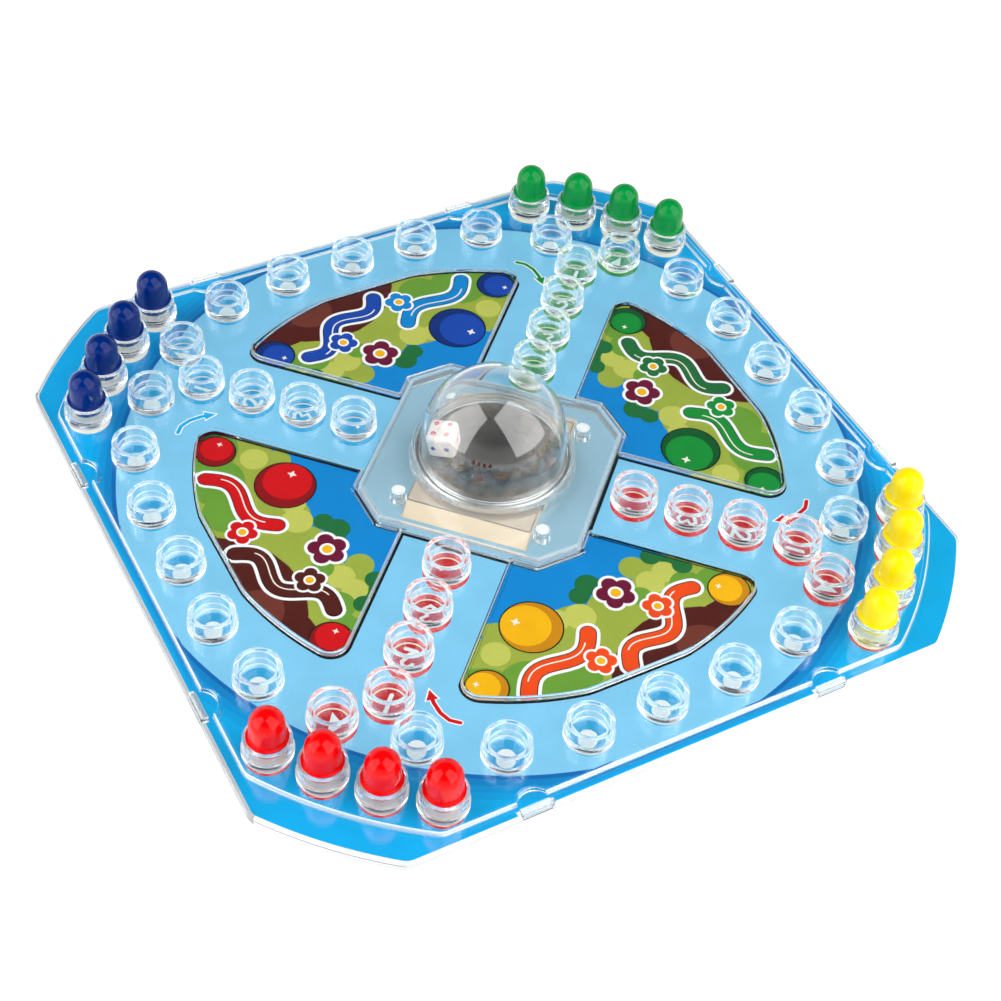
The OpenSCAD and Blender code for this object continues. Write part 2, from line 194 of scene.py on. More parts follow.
def inside_box(tree, ray, corners):
    """1 for rays inside the four-sided cone through the corners and 0 outside it: such a ray is on the
    middle's side of every plane through two neighbouring corners."""
    p = np.array(corners) @ CAMERA_AXES
    share = 1.0
    for a, b in zip(p, np.roll(p, -1, 0)):
        normal = np.cross(a, b)
        normal *= np.sign(normal @ p.mean(0)) / np.linalg.norm(normal)
        side = add(tree, "VectorMath", {0: ray, 1: normal}, operation="DOT_PRODUCT").outputs["Value"]
        edge = add(tree, "MapRange", {"Value": side}, From_Min=0.0, From_Max=LAMP_SOFT_EDGE).outputs[0]
        share = add(tree, "Math", {0: share, 1: edge}, operation="MULTIPLY").outputs[0]
    return share


def light_tent():
    """The softboxes' share times their brightness, plus the paper's or the gap's, for each kind of ray."""
    world = bpy.data.worlds.new("light_tent")
    world.use_nodes = True
    tree = world.node_tree
    tree.nodes.clear()
    path = add(tree, "LightPath")
    ray = add(tree, "TexCoord").outputs["Generated"]
    height = add(tree, "SeparateXYZ", {0: ray}).outputs["Z"]
    paper = add(tree, "MapRange", {"Value": height}, From_Min=PAPER_UP_TO, From_Max=DARK_FROM, To_Min=1.0,
                To_Max=DARK)
    facing = add(tree, "VectorMath", {0: ray, 1: (-back[0], -back[1], back[2])}, operation="DOT_PRODUCT")
    gap = add(tree, "MapRange", {"Value": facing.outputs["Value"]}, From_Min=cos(GAP_ROUND),
              From_Max=cos(GAP_MIDDLE), To_Min=1.0, To_Max=DARK)
    boxes = [inside_box(tree, ray, corners) for corners in SOFTBOXES.values()]
    lamps = add(tree, "Math", dict(enumerate(boxes)), operation="ADD").outputs[0]
    shine, glimpse = (add(tree, "Math", {0: lamps, 1: strength, 2: rest.outputs[0]}, operation="MULTIPLY_ADD")
                      for strength, rest in ((LAMP_SHINE, paper), (LAMP_THROUGH, gap)))
    fill = add(tree, "Background", Color=linear("F4F6F8"), Strength=FILL)
    mirror = add(tree, "Background", {"Strength": shine.outputs[0]}, Color=PURE_WHITE)
    through = add(tree, "Background", {"Strength": glimpse.outputs[0]}, Color=PURE_WHITE)
    view = add(tree, "Background", Color=PURE_WHITE, Strength=1.0)
    seen = fill
    for kind, picture in (("Glossy", mirror), ("Transmission", through), ("Camera", view)):
        chosen = path.outputs[f"Is {kind} Ray"]
        seen = add(tree, "MixShader", {0: chosen, 1: seen.outputs[0], 2: picture.outputs[0]})
    add(tree, "OutputWorld", {"Surface": seen.outputs[0]})
    return world


bpy.context.scene.world = light_tent()
print("room painted with", len(SOFTBOXES), "softboxes")

# %% [markdown]
# The board lies on a sheet of white paper that is far larger than the picture. It glows faintly, as paper
# does in a light tent, so that the board's shadow on it stays pale. The Standard view leaves the colours as
# they are.

# %% White floor
PAPER_GLOW = 0.30
FLOOR_SIZE = 6.0
FLOOR_Z = -0.02 * MM


def white_floor():
    """One square on the ground."""
    material, tree, output = new_material("white_sweep")
    paper = add(tree, "BsdfPrincipled", Base_Color=PURE_WHITE, Roughness=0.8)
    glow = add(tree, "Emission", Color=PURE_WHITE, Strength=PAPER_GLOW)
    both = add(tree, "AddShader", {0: paper.outputs[0], 1: glow.outputs[0]})
    tree.links.new(both.outputs[0], output.inputs["Surface"])
    h = FLOOR_SIZE / 2
    mesh = bpy.data.meshes.new("floor")
    mesh.from_pydata([(x, y, FLOOR_Z) for x, y in ((-h, -h), (h, -h), (h, h), (-h, h))], [], [(0, 1, 2, 3)])
    mesh.materials.append(material)
    floor = bpy.data.objects.new("floor", mesh)
    bpy.context.scene.collection.objects.link(floor)


white_floor()
bpy.context.scene.view_settings.view_transform = "Standard"
print("floor of", FLOOR_SIZE, "m")

# %% [markdown]
# Light goes through many walls of clear plastic before it leaves a cup, and more often than a path tracer
# follows it by default. The longer paths keep the plastic from turning black.

# %% Light paths
light_paths = bpy.context.scene.cycles
light_paths.max_bounces = 24
light_paths.glossy_bounces = 20
light_paths.transmission_bounces = 24
light_paths.transparent_max_bounces = 32
print("light paths up to", light_paths.max_bounces, "bounces")

# %% [markdown]
# The clear parts are injection-moulded polystyrene, an index of refraction of 1.59 and a polished surface.
# Real glass-like plastic lets the lamps light what is under it. A path tracer finds such light only by
# chance, so shadow and diffuse rays see a faintly tinted Transparent shader here instead. Light that is
# caught in a clear wall runs along it and comes out at its edges, which makes them look white, so the
# edges get a share of white of their own: painted light, a diffuse white mixed into the clear plastic.

# %% Clear plastics
POLYSTYRENE_IOR = 1.59


def clear_plastic(name, tint, roughness, white=0.0):
    """Principled transmission for what is seen, less a share of white that is painted light, and a
    Transparent film for rays from lamps. A ray crosses two faces of a wall, and each takes the square root of
    the tint."""
    material, tree, output = new_material(name)
    path = add(tree, "LightPath")
    glass = add(tree, "BsdfPrincipled", Base_Color=linear(tint), Roughness=roughness, IOR=POLYSTYRENE_IOR,
                Transmission_Weight=1.0 - white)
    film = add(tree, "BsdfTransparent", Color=[c ** 0.5 for c in linear(tint)])
    lamp_ray = add(tree, "Math", {0: path.outputs["Is Shadow Ray"], 1: path.outputs["Is Diffuse Ray"]},
                   operation="MAXIMUM")
    mix = add(tree, "MixShader", {0: lamp_ray.outputs[0], 1: glass.outputs[0], 2: film.outputs[0]})
    tree.links.new(mix.outputs[0], output.inputs["Surface"])
    return material


cover_clear = clear_plastic("moulded_clear_polystyrene", "F9FCFD", 0.0)
cup_clear = clear_plastic("clear_polystyrene_cups", "F8FCFD", 0.0)
housing_clear = clear_plastic("faintly_frosted_polystyrene", "F6FAFB", 0.08, white=0.06)
# The plastics below with a share of white are edges with painted light, and the grey-tinted one in shade is
# painted shade: lit and shaded copies of the clear plastic.
housing_edge = clear_plastic("light_piped_housing_edge", "EEF4F7", 0.20, white=0.22)
dome_clear = clear_plastic("polished_polystyrene_dome", "FBFCFC", 0.0)
bright_edge = clear_plastic("light_piped_edge", "FBFCFC", 0.10, white=0.70)
bevel_edge = clear_plastic("light_piped_bevel", "E2E7EC", 0.08, white=0.28)
shaded_edge = clear_plastic("light_piped_edge_in_shade", "B4B7BA", 0.10, white=0.60)
rim_edge = clear_plastic("light_piped_rim", "FBFCFC", 0.05, white=0.20)
foot_edge = clear_plastic("light_piped_foot", "FBFCFC", 0.10, white=0.40)
print("clear plastics:", cover_clear.name, cup_clear.name, housing_clear.name, dome_clear.name)

# %% [markdown]
# The solid colours are glossy moulded plastic: a smooth coat of reflection over a strong pigment, with a
# faint grain that breaks the highlight up a little. The block is a matt cream plastic. Its top is painted
# darker, as painted shade, and its groove darker still, as painted shade in the recess.

# %% Solid plastics
PIGMENT_DRIFT = 9 * MM


def moulded(name, colour, roughness, grain_mm=1.2, grain=0.02, mottle="FFFFFF", share=0.0, shine=0.5):
    """Pigmented plastic: a base colour that a slow noise shifts towards mottle, and a fine bump."""
    material, tree, output = new_material(name)
    coords = add(tree, "TexCoord").outputs["Object"]
    slow = add(tree, "TexNoise", {"Vector": coords}, Scale=1 / PIGMENT_DRIFT, Detail=3.0)
    amount = add(tree, "Math", {0: slow.outputs["Fac"], 1: share}, operation="MULTIPLY")
    tone = add(tree, "MixRGB", {"Fac": amount.outputs[0]}, Color1=linear(colour), Color2=linear(mottle))
    fine = add(tree, "TexNoise", {"Vector": coords}, Scale=1 / (grain_mm * MM), Detail=2.0)
    bump = add(tree, "Bump", {"Height": fine.outputs["Fac"]}, Strength=grain, Distance=0.1 * MM)
    skin = add(tree, "BsdfPrincipled", {"Base Color": tone.outputs[0], "Normal": bump.outputs["Normal"]},
               Roughness=roughness, IOR=1.45, Specular_IOR_Level=shine)
    tree.links.new(skin.outputs[0], output.inputs["Surface"])
    return material


PEG_COLOURS = {"blue": "00246E", "green": "028C3C", "yellow": "FADC06", "red": "E00408"}
peg_plastic = {player: moulded(f"glossy_{player}_polystyrene", colour, 0.04, grain=0.01, shine=0.24)
               for player, colour in PEG_COLOURS.items()}
cream_plastic = moulded("cream_abs_block", "F0D4B0", 0.45, mottle="E2C6A2", share=0.3)
shaded_cream_top = moulded("painted_shade_cream_abs_top", "CDB79F", 0.5, mottle="C2AB92", share=0.3)
groove_shade_cream = moulded("painted_shade_cream_groove", "8E7E6E", 0.6, mottle="7A6B5C", share=0.3)
die_plastic = moulded("white_urea_die", "E2D9D3", 0.25, shine=0.15)
print("pegs in", ", ".join(peg_plastic))

# %% [markdown]
# The card is offset-printed board. Each ink is one flat colour with a dull coat. Its cover varies by about a
# tenth over a fine grain and a slow drift, which keeps a large printed field from looking like plastic.

# %% Inks
INK_GRAIN, INK_DRIFT = 0.8 * MM, 14 * MM
INKS = {
    "mid_blue": "02ACEA", "light_blue": "82C8EA", "edge_blue": "0A66AE", "shade_blue_1": "0882C2",
    "shade_blue_2": "0692D2", "shade_blue_3": "04A0DE", "disc_blue": "28A4D8",
    "housing_blue": "86B4C9", "white": "FAF8F6", "cream": "F8ECDC", "black": "0A0E12", "red": "D20A14",
    "deep_red": "8A0C12", "blue": "1446A8", "deep_blue": "0A2C74", "green": "128A34", "deep_green": "0A5226",
    "yellow": "F6B40A", "deep_yellow": "CC860E", "sky": "0684CC", "olive": "9CAA40", "moss": "C2C45A",
    "leaf": "6A9A34", "forest": "1E6A36", "bark": "4E1812", "clay": "6E3226", "orange": "EE4A14",
    "plum": "6A0C30", "pale_board": "D8DDE0",
}


def printed(name, colour):
    """Ink on coated card: the colour times 0.93 to 1.05, as the sum of a fine and a slow noise goes up."""
    material, tree, output = new_material(name)
    coords = add(tree, "TexCoord").outputs["Object"]
    grain, drift = (add(tree, "TexNoise", {"Vector": coords}, Scale=1 / size, Detail=2.0).outputs["Fac"]
                    for size in (INK_GRAIN, INK_DRIFT))
    both = add(tree, "Math", {0: grain, 1: drift}, operation="ADD").outputs[0]
    cover = add(tree, "MapRange", {"Value": both}, From_Min=0.7, From_Max=1.3, To_Min=0.93, To_Max=1.05)
    tone = add(tree, "VectorMath", {0: linear(colour)[:3], "Scale": cover.outputs[0]}, operation="SCALE")
    skin = add(tree, "BsdfPrincipled", {"Base Color": tone.outputs[0]}, Roughness=0.45, IOR=1.48,
               Specular_IOR_Level=0.25)
    tree.links.new(skin.outputs[0], output.inputs["Surface"])
    return material


ink = {name: printed("ink_" + name, colour) for name, colour in INKS.items()}
print("inks:", len(ink))

# %% [markdown]
# The disc under the die is spring steel. It mirrors the two softboxes, with fine circular marks from the
# press tool. Towards its rim, in patches, the steel is worn rougher by the tumbling die, and there the light
# spreads; that rough steel is also painted paler, a painted sheen for the brighter reflection there.

# %% Spring steel
TOOL_MARKS, WEAR_AND_SHEEN_PATCHES = 1.6 * MM, 3 * MM
WEAR_AND_SHEEN_FROM, WEAR_AND_SHEEN_TO, WEAR_AND_SHEEN_MOST = 6 * MM, 24 * MM, 0.9


def sprung_steel():
    """Dark polished steel and a rougher one painted paler, the paler colour a painted sheen. The rough one's
    share is a noise times the distance from the middle, which runs from 0 at WEAR_AND_SHEEN_FROM to
    WEAR_AND_SHEEN_MOST at WEAR_AND_SHEEN_TO."""
    material, tree, output = new_material("polished_spring_steel")
    coords = add(tree, "TexCoord").outputs["Object"]
    marks = add(tree, "TexWave", {"Vector": coords}, wave_type="RINGS", rings_direction="Z",
                Scale=1 / TOOL_MARKS, Distortion=1.5, Detail=2.0)
    bump = add(tree, "Bump", {"Height": marks.outputs["Fac"]}, Strength=0.008, Distance=0.05 * MM)
    mirror, worn_and_sheen = (add(tree, "BsdfPrincipled", {"Normal": bump.outputs["Normal"]}, Base_Color=linear(colour),
                        Metallic=1.0, Roughness=roughness)
                    for colour, roughness in (("8A8680", 0.05), ("B6AEA4", 0.4)))
    flat = add(tree, "VectorMath", {0: coords, 1: (1, 1, 0)}, operation="MULTIPLY")
    away = add(tree, "VectorMath", {0: flat.outputs[0]}, operation="LENGTH").outputs["Value"]
    patchy = add(tree, "TexNoise", {"Vector": coords}, Scale=1 / WEAR_AND_SHEEN_PATCHES, Detail=3.0)
    rim = add(tree, "MapRange", {"Value": away}, From_Min=WEAR_AND_SHEEN_FROM, From_Max=WEAR_AND_SHEEN_TO, To_Max=WEAR_AND_SHEEN_MOST)
    wear_and_sheen = add(tree, "Math", {0: rim.outputs[0], 1: patchy.outputs["Fac"]}, operation="MULTIPLY")
    skin = add(tree, "MixShader", {0: wear_and_sheen.outputs[0], 1: mirror.outputs[0], 2: worn_and_sheen.outputs[0]})
    tree.links.new(skin.outputs[0], output.inputs["Surface"])
    return material


disc_steel = sprung_steel()
print("disc of", disc_steel.name)

# %% [markdown]
# Every new piece is put together from three kinds of surface: a band between closed rings of points, a
# flat fill between outlines, and a turned surface, which is a profile carried round an axis. Each one is its
# points and its faces as whole arrays.

# %% Surfaces
SAME_POINT = 1e-6


def band(rings):
    """Quads between neighbouring closed rings. rings is an array of rings by points by 3."""
    rings = np.asarray(rings, float)
    k, n, _ = rings.shape
    i, j = np.meshgrid(np.arange(k - 1), np.arange(n), indexing="ij")
    a, b = i * n + j, i * n + (j + 1) % n
    quads = np.stack([a, b, b + n, a + n], -1).reshape(-1, 4)
    return rings.reshape(-1, 3), quads


def anticlockwise(outline):
    """The outline seen from above, turned round if the sum of its corners' cross products is negative."""
    p = np.asarray(outline, float)[:, :2]
    q = np.roll(p, -1, 0)
    return p if np.sum(p[:, 0] * q[:, 1] - p[:, 1] * q[:, 0]) > 0 else p[::-1]


def cut_up(outlines):
    """Triangles bounded by all the outlines, each with the numbers of the outlines round it."""
    outlines = [anticlockwise(o) for o in outlines]
    starts = np.cumsum([0] + [len(o) for o in outlines])
    points = [Vector(p) for p in np.concatenate(outlines).tolist()]
    loops = [list(range(a, b)) for a, b in zip(starts[:-1], starts[1:])]
    flat, _, faces, _, _, origins = delaunay_2d_cdt(points, [], loops, 1, SAME_POINT)
    return np.array([(p.x, p.y) for p in flat]), faces, origins


def lifted(outline, z):
    """An outline's points at height z."""
    return np.column_stack([outline, np.full(len(outline), z)])


def fill(z, outer, *holes):
    """A flat face at height z inside outer and outside the holes, as triangles."""
    flat, faces, origins = cut_up([outer, *holes])
    return lifted(flat, z), np.array([f for f, o in zip(faces, origins) if list(o) == [0]])


def turned(profile, steps=64, centre=(0, 0), numbers=None):
    """The profile's (radius, height) points carried round the upright axis through centre. numbers gives
    each step of the profile its material number."""
    t = np.arange(steps) * 2 * pi / steps
    profile = np.asarray(profile, float)
    ring = np.stack([np.outer(profile[:, 0], np.cos(t)) + centre[0],
                     np.outer(profile[:, 0], np.sin(t)) + centre[1],
                     np.repeat(profile[:, 1:2], steps, 1)], -1)
    return band(ring) if numbers is None else (*band(ring), np.repeat(numbers, steps))


print("a turned tube has", len(turned([[1, 0], [1, 2]])[1]), "faces")

# %% [markdown]
# A piece's surfaces are merged where their edges meet, so that it is one skin, and its faces are turned
# outwards. Edges sharper than SHARP_ANGLE stay sharp, and weighted normals keep the flat walls flat beside
# their roundings. Then the piece takes the place of its plain solid and rides on the same body.

# %% Pieces
SHARP_ANGLE = radians(34)
MERGE_WITHIN = 0.002 * MM


def closed_mesh(name, points, faces, numbers):
    """One skin without doubles or loose points, faces outwards, and how many of its edges stay open."""
    mesh = bpy.data.meshes.new(name)
    mesh.from_pydata(points, [], faces)
    mesh.shade_smooth()
    mesh.polygons.foreach_set("material_index", numbers)
    work = bmesh.new()
    work.from_mesh(mesh)
    bmesh.ops.remove_doubles(work, verts=work.verts, dist=MERGE_WITHIN)
    bmesh.ops.delete(work, geom=[v for v in work.verts if not v.link_faces], context="VERTS")
    bmesh.ops.recalc_face_normals(work, faces=work.faces)
    open_edges = sum(1 for e in work.edges if len(e.link_faces) != 2)
    work.to_mesh(mesh)
    work.free()
    mesh.set_sharp_from_angle(angle=SHARP_ANGLE)
    return mesh, open_edges


def piece(name, surfaces, materials, body, node, weighted=True):
    """Joins surfaces into one mesh and puts it in the place of a CAD node. A surface is its points in
    millimetres and its faces, and may end with the faces' material numbers."""
    points, faces, numbers, count = [], [], [], 0
    for verts, polys, *number in surfaces:
        points.append(verts * MM)
        faces += (np.asarray(polys) + count).tolist()
        numbers.append(np.broadcast_to(number[0] if number else 0, len(polys)))
        count += len(verts)
    numbers = np.concatenate(numbers).astype(np.int32)
    mesh, open_edges = closed_mesh(name, np.concatenate(points).tolist(), faces, numbers)
    for material in materials:
        mesh.materials.append(material)
    thing = bpy.data.objects.new(name, mesh)
    if weighted:
        flat_walls = thing.modifiers.new("flat_walls", "WEIGHTED_NORMAL")
        flat_walls.keep_sharp = True
    bpy.context.scene.collection.objects.link(thing)
    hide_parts(node)
    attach(thing, body)
    print(f"{name}: {len(mesh.polygons)} faces, {open_edges} open edges")
    return thing


# %% [markdown]
# Outlines and profiles are made of straight stretches and arcs. A corner is given where its two sides would
# meet, and its rounding is the arc that touches both sides, as a drawing of a moulding gives it.


# %% Outlines and profiles
def arc(centre, radius, start, end, steps):
    """Points of a circular arc, angles in degrees, both ends included."""
    t = np.radians(np.linspace(start, end, steps + 1))
    return np.column_stack([centre[0] + radius * np.cos(t), centre[1] + radius * np.sin(t)])


def circle(centre, radius, steps=48):
    """A full turn of arc, without its end, which is its start again."""
    return arc(centre, radius, 0, 360, steps)[:-1]


def turn(points, angle):
    """Points turned about the origin by an angle in degrees."""
    a = radians(angle)
    return np.asarray(points) @ np.array([[cos(a), sin(a)], [-sin(a), cos(a)]])


def rounded(corners, radii, steps=5):
    """A polygon whose corners are replaced by arcs that touch both sides."""
    corners = np.asarray(corners, float)
    arcs = []
    for i, p in enumerate(corners):
        a, b = corners[i - 1] - p, corners[(i + 1) % len(corners)] - p
        a, b = a / np.linalg.norm(a), b / np.linalg.norm(b)
        half = np.arccos(np.clip(a @ b, -1, 1)) / 2
        middle = p + (a + b) / np.linalg.norm(a + b) * radii[i] / sin(half)
        ends = [p + side * radii[i] / np.tan(half) - middle for side in (a, b)]
        t0, t1 = (atan2(e[1], e[0]) for e in ends)
        sweep = (t1 - t0 + pi) % (2 * pi) - pi
        arcs.append(arc(middle, radii[i], degrees(t0), degrees(t0 + sweep), steps))
    return np.concatenate(arcs)


def smooth_profile(corners, steps=4):
    """An open profile of (radius, height, rounding): the corners between its two ends are eased by arcs."""
    corners = np.asarray(corners, float)
    points = corners[:, :2]
    eased = rounded(points, corners[:, 2], steps).reshape(len(points), steps + 1, 2)
    return np.concatenate([points[:1], eased[1:-1].reshape(-1, 2), points[-1:]])


def edge_round(radius, steps=4):
    """Pairs (inset, drop) down a quarter round edge, from the flat top to the upright side."""
    t = np.linspace(0, pi / 2, steps + 1)
    return [(radius * (1 - sin(a)), radius * (1 - cos(a))) for a in t]


print("a circle has", len(circle((0, 0), 1)), "points")

# %% [markdown]
# All lengths below are millimetres of the real board. The case is a square whose corners are cut off by a
# circle round the board's middle, and the meeting of side and circle is rounded. The raised plateau has
# the same form, with eight half-round notches behind the snap hooks.

# %% Case outlines
CASE_HALF, CASE_ROUND, CASE_FILLET = 134.6, 166.8, 7.0
PLATEAU_HALF, PLATEAU_ROUND, PLATEAU_FILLET = 130.2, 155.5, 6.0
SMALLEST_FILLET = 0.2
TRAY_WALL = 1.2
HOOK_AT, HOOK_W = 54.7, 10.6
SLOT_GAP = 0.3
NOTCH_R, NOTCH_OUT = 6.0, 2.8


def case_outline(half, radius, fillet, inset=0.0, bite=None):
    """One quarter is the +X side from bottom to top with its bites, a fillet, the corner's arc and a second
    fillet; the other quarters are the same, turned. A fillet's centre lies fillet inside side and circle."""
    half, radius, fillet = half - inset, radius - inset, max(fillet - inset, SMALLEST_FILLET)
    y = sqrt((radius - fillet) ** 2 - (half - fillet) ** 2)
    lean = degrees(atan2(y, half - fillet))
    bites = [bite(half, at, inset) for at in (-HOOK_AT, HOOK_AT)] if bite else []
    first = arc((half - fillet, y), fillet, 0, lean, 6)
    corner = arc((0, 0), radius, lean, 90 - lean, 24)[1:-1]
    second = arc((y, half - fillet), fillet, 90 - lean, 90, 6)[:-1]
    quarter = np.concatenate([[[half, -y]], *bites, first, corner, second])
    return np.concatenate([turn(quarter, k * 90) for k in range(4)])


def notch(half, y, inset):
    """A round bite in the plateau's side, centred NOTCH_OUT outside it; it grows as the outline shrinks."""
    radius, away = NOTCH_R + inset, NOTCH_OUT + inset
    reach = degrees(np.arccos(away / radius))
    return arc((half + away, y), radius, 180 + reach, 180 - reach, 14)


def hook_slot(half, y, inset):
    """A square bite in the ledge's edge that a hook passes through."""
    w = HOOK_W / 2 + SLOT_GAP + inset
    depth = TRAY_WALL + SLOT_GAP
    return np.array([[half, y - w], [half - depth, y - w], [half - depth, y + w], [half, y + w]])


print("case outline:", len(case_outline(CASE_HALF, CASE_ROUND, CASE_FILLET)), "points")

# %% [markdown]
# Four raised picture pads stand on the plateau, one to each side. A pad's straight sides run along the
# home columns, its outer edge is an arc round the middle, and its inner end follows the dome housing.

# %% Pad and housing outlines
PAD_SIDE, PAD_ROUND, PAD_FLAT = 19.35, 104.75, 103.15
PAD_CORNER, PAD_CORNER_LEAST = 6.2, 0.5
PAD_INNER, PAD_INNER_LEAST = 1.4, 0.3
HOUSING_HALF, HOUSING_CUT, HOUSING_ROUND_LEAST = 40.4, 48.75, 0.15
OPENING_GAP, PAD_GAP = 0.3, 0.4
DIAGONAL = np.array([[1, -1], [-1, -1]]) / sqrt(2)


def pad_outline(inset=0.0, steps=20):
    """The pad on the -Y side. In the diagonal's frame (u along it, v towards the pad's middle) the side is
    v = PAD_SIDE and the inner edge u = HOUSING_HALF plus the gaps; the outer edge is a circle, cut off flat.
    Half of it is worked out, from the inner end round to the middle of the outer edge, and then mirrored."""
    v = PAD_SIDE + inset
    u0 = HOUSING_HALF + OPENING_GAP + PAD_GAP + inset
    y0 = HOUSING_CUT + OPENING_GAP + PAD_GAP + inset
    r, rc = PAD_ROUND - inset, max(PAD_CORNER - inset, PAD_CORNER_LEAST)
    centre = np.array([sqrt((r - rc) ** 2 - (v + rc) ** 2), v + rc]) @ DIAGONAL
    lean = degrees(atan2(centre[1], centre[0]))
    small = max(PAD_INNER - inset, PAD_INNER_LEAST)
    inner = np.array([[u0 * sqrt(2) - y0, -y0], np.array([u0, v]) @ DIAGONAL])
    before, after = inner[0] * [-1, 1], centre + rc * np.array([cos(pi / 4), sin(pi / 4)])
    arcs = rounded([before, *inner, after], [small] * 4, 4).reshape(4, 5, 2)
    outer = arc((0, 0), r, lean, -90, steps)[1:]
    outer[:, 1] = np.maximum(outer[:, 1], -(PAD_FLAT - inset))
    half = np.concatenate([arcs[1], arcs[2], arc(centre, rc, 45, lean, 8), outer])
    return np.concatenate([half, half[-2::-1] * [-1, 1]])


def housing_outline(apothem, cut, radius, inset=0.0):
    """A square turned onto the diagonals with its four corners cut flat, and all eight corners eased."""
    a, c = apothem - inset, cut - inset
    x = a * sqrt(2) - c
    corners = np.concatenate([turn([[c, -x], [c, x]], 90 * k) for k in range(4)])
    return rounded(corners, [max(radius - inset, HOUSING_ROUND_LEAST)] * 8, 5)


print("pad outline:", len(pad_outline()), "points")

# %% [markdown]
# Light that is caught in the sheets comes out at their edges. Edges that face the light look white, and those
# on the far side from it grey. That light and shade is painted: each quad of an edge's band gets the number
# of an edge plastic by the way it faces and by its height. The white outer walls and ridge are painted light,
# the pads' grey walls a painted sheen, and the grey walls that face away from the softboxes and the grey
# lines at the tray's foot and at its seam with the cover are painted shade.

# %% Light at the edges
TRAY_TOP, LEDGE_TOP = 2.6, 4.0
EDGE_R, RIDGE_FOOT = 0.4, 0.5
TRAY_FOOT, SEAM = 0.5, 0.5
SHADED_FROM, GREY_LINE_FROM = 150, 112
SLACK, NOTCH_MARGIN = 0.01, 0.1


def ridge_numbers(rings):
    """Material 1 on the ridge and 2 on the fillet at its foot, but 0 in the notches, whose edge is thin."""
    middle = (rings[0] + np.roll(rings[0], -1, 0))[:, :2] / 2
    at = PLATEAU_HALF + NOTCH_OUT
    centres = np.concatenate([turn([[at, -HOOK_AT], [at, HOOK_AT]], 90 * k) for k in range(4)])
    away = np.linalg.norm(middle[:, None] - centres, axis=-1).min(1)
    level = [1 if ring[0][2] > LEDGE_TOP + RIDGE_FOOT - SLACK else 2 for ring in rings[1:]]
    return np.outer(level, away > NOTCH_R + EDGE_R + NOTCH_MARGIN).reshape(-1)


def side_numbers(rings):
    """Material 1, painted light, on the outer walls, but 3, painted shade, on those that face more than
    SHADED_FROM degrees away from +X. The lowest rounding and the strip under the tray's top are 2, and 3 from
    GREY_LINE_FROM degrees on: grey lines of painted shade."""
    step = np.roll(rings[0], -1, 0) - rings[0]
    away = np.abs(np.degrees(np.arctan2(-step[:, 0], step[:, 1])))
    z = np.array([(a[0][2] + b[0][2]) / 2 for a, b in zip(rings[:-1], rings[1:])])
    line = ((z < TRAY_FOOT) | ((z > TRAY_TOP - SEAM) & (z < TRAY_TOP)))[:, None]
    lines = np.where(away > GREY_LINE_FROM, 3, 2)
    return np.where(away > SHADED_FROM, 3, np.where(line, lines, 1)).reshape(-1)


SHEET_PLASTICS = [cover_clear, bright_edge, bevel_edge, shaded_edge]
print("edge plastics:", [plastic.name for plastic in SHEET_PLASTICS[1:]])

# %% [markdown]
# The cover is one thin clear moulding, best drawn by the rings that run round its edges: down its outer edge,
# up the ridge to the plateau, round each pad and down into the opening for the dome housing.

# %% Edges of the cover
AIR, COVER_T = 0.02, 1.4
COVER_FOOT = TRAY_TOP + AIR
PLATEAU_TOP, PAD_TOP = 5.7, 7.0
PLATEAU_UNDER, PAD_UNDER = PLATEAU_TOP - COVER_T, PAD_TOP - COVER_T
RIM_BAND, MOUTH_R, OPENING_ROUND = 1.0, 0.1, 1.5
PAD_EDGE_R, PAD_FOOT = 0.7, 0.15


def ledge_ring(inset, z):
    """The cover's outer edge with the hooks' slots, drawn in by inset, at height z."""
    return lifted(case_outline(CASE_HALF, CASE_ROUND, CASE_FILLET, inset, hook_slot), z)


def plateau_ring(inset, z):
    """The plateau's edge with its notches, drawn in by inset, at height z."""
    return lifted(case_outline(PLATEAU_HALF, PLATEAU_ROUND, PLATEAU_FILLET, inset, notch), z)


def opening_ring(inset, z):
    """The edge of the opening for the dome housing, drawn in by inset, at height z."""
    half, cut = HOUSING_HALF + OPENING_GAP, HOUSING_CUT + OPENING_GAP
    return lifted(housing_outline(half, cut, OPENING_ROUND, inset), z)


def cover_edges():
    """The rings down the outer edge, the ridge, the plateau's hollow and the opening's mouth. The ridge ends
    in a quarter circle of radius RIDGE_FOOT that runs out onto the ledge."""
    roundings = edge_round(EDGE_R)
    outer = [ledge_ring(RIM_BAND, LEDGE_TOP)] + [ledge_ring(i, LEDGE_TOP - d) for i, d in roundings]
    outer.append(ledge_ring(0, COVER_FOOT))
    foot = [(RIDGE_FOOT * (cos(a) - 1), LEDGE_TOP + RIDGE_FOOT * (1 - sin(a)))
            for a in np.linspace(0, pi / 2, 5)]
    ridge = [plateau_ring(i, PLATEAU_TOP - d) for i, d in roundings] + [plateau_ring(i, z) for i, z in foot]
    hollow = [plateau_ring(COVER_T, PLATEAU_UNDER), plateau_ring(COVER_T, COVER_FOOT)]
    mouth = [opening_ring(-i, PLATEAU_TOP - d) for i, d in edge_round(MOUTH_R)]
    mouth.append(opening_ring(0, PLATEAU_UNDER))
    return outer, ridge, hollow, mouth


def pad_edges(angle):
    """The rings down a pad's outer wall and down its inner wall."""
    outer = [(i, PAD_TOP - d) for i, d in edge_round(PAD_EDGE_R, 6)]
    outer += [(0.0, PLATEAU_TOP + PAD_FOOT), (-PAD_FOOT, PLATEAU_TOP)]
    inner = [(COVER_T, PAD_UNDER), (COVER_T, PLATEAU_UNDER)]
    return [[lifted(turn(pad_outline(i), angle), z) for i, z in pairs] for pairs in (outer, inner)]


print("rings of the cover:", [len(rings) for rings in cover_edges()])

# %% [markdown]
# The cover's upper skin lies between those rings as flat faces: the ledge, the plateau and the pads' tops.
# Its lower skin does the same one wall thickness below. The two skins meet under the outer edge and in the
# opening.


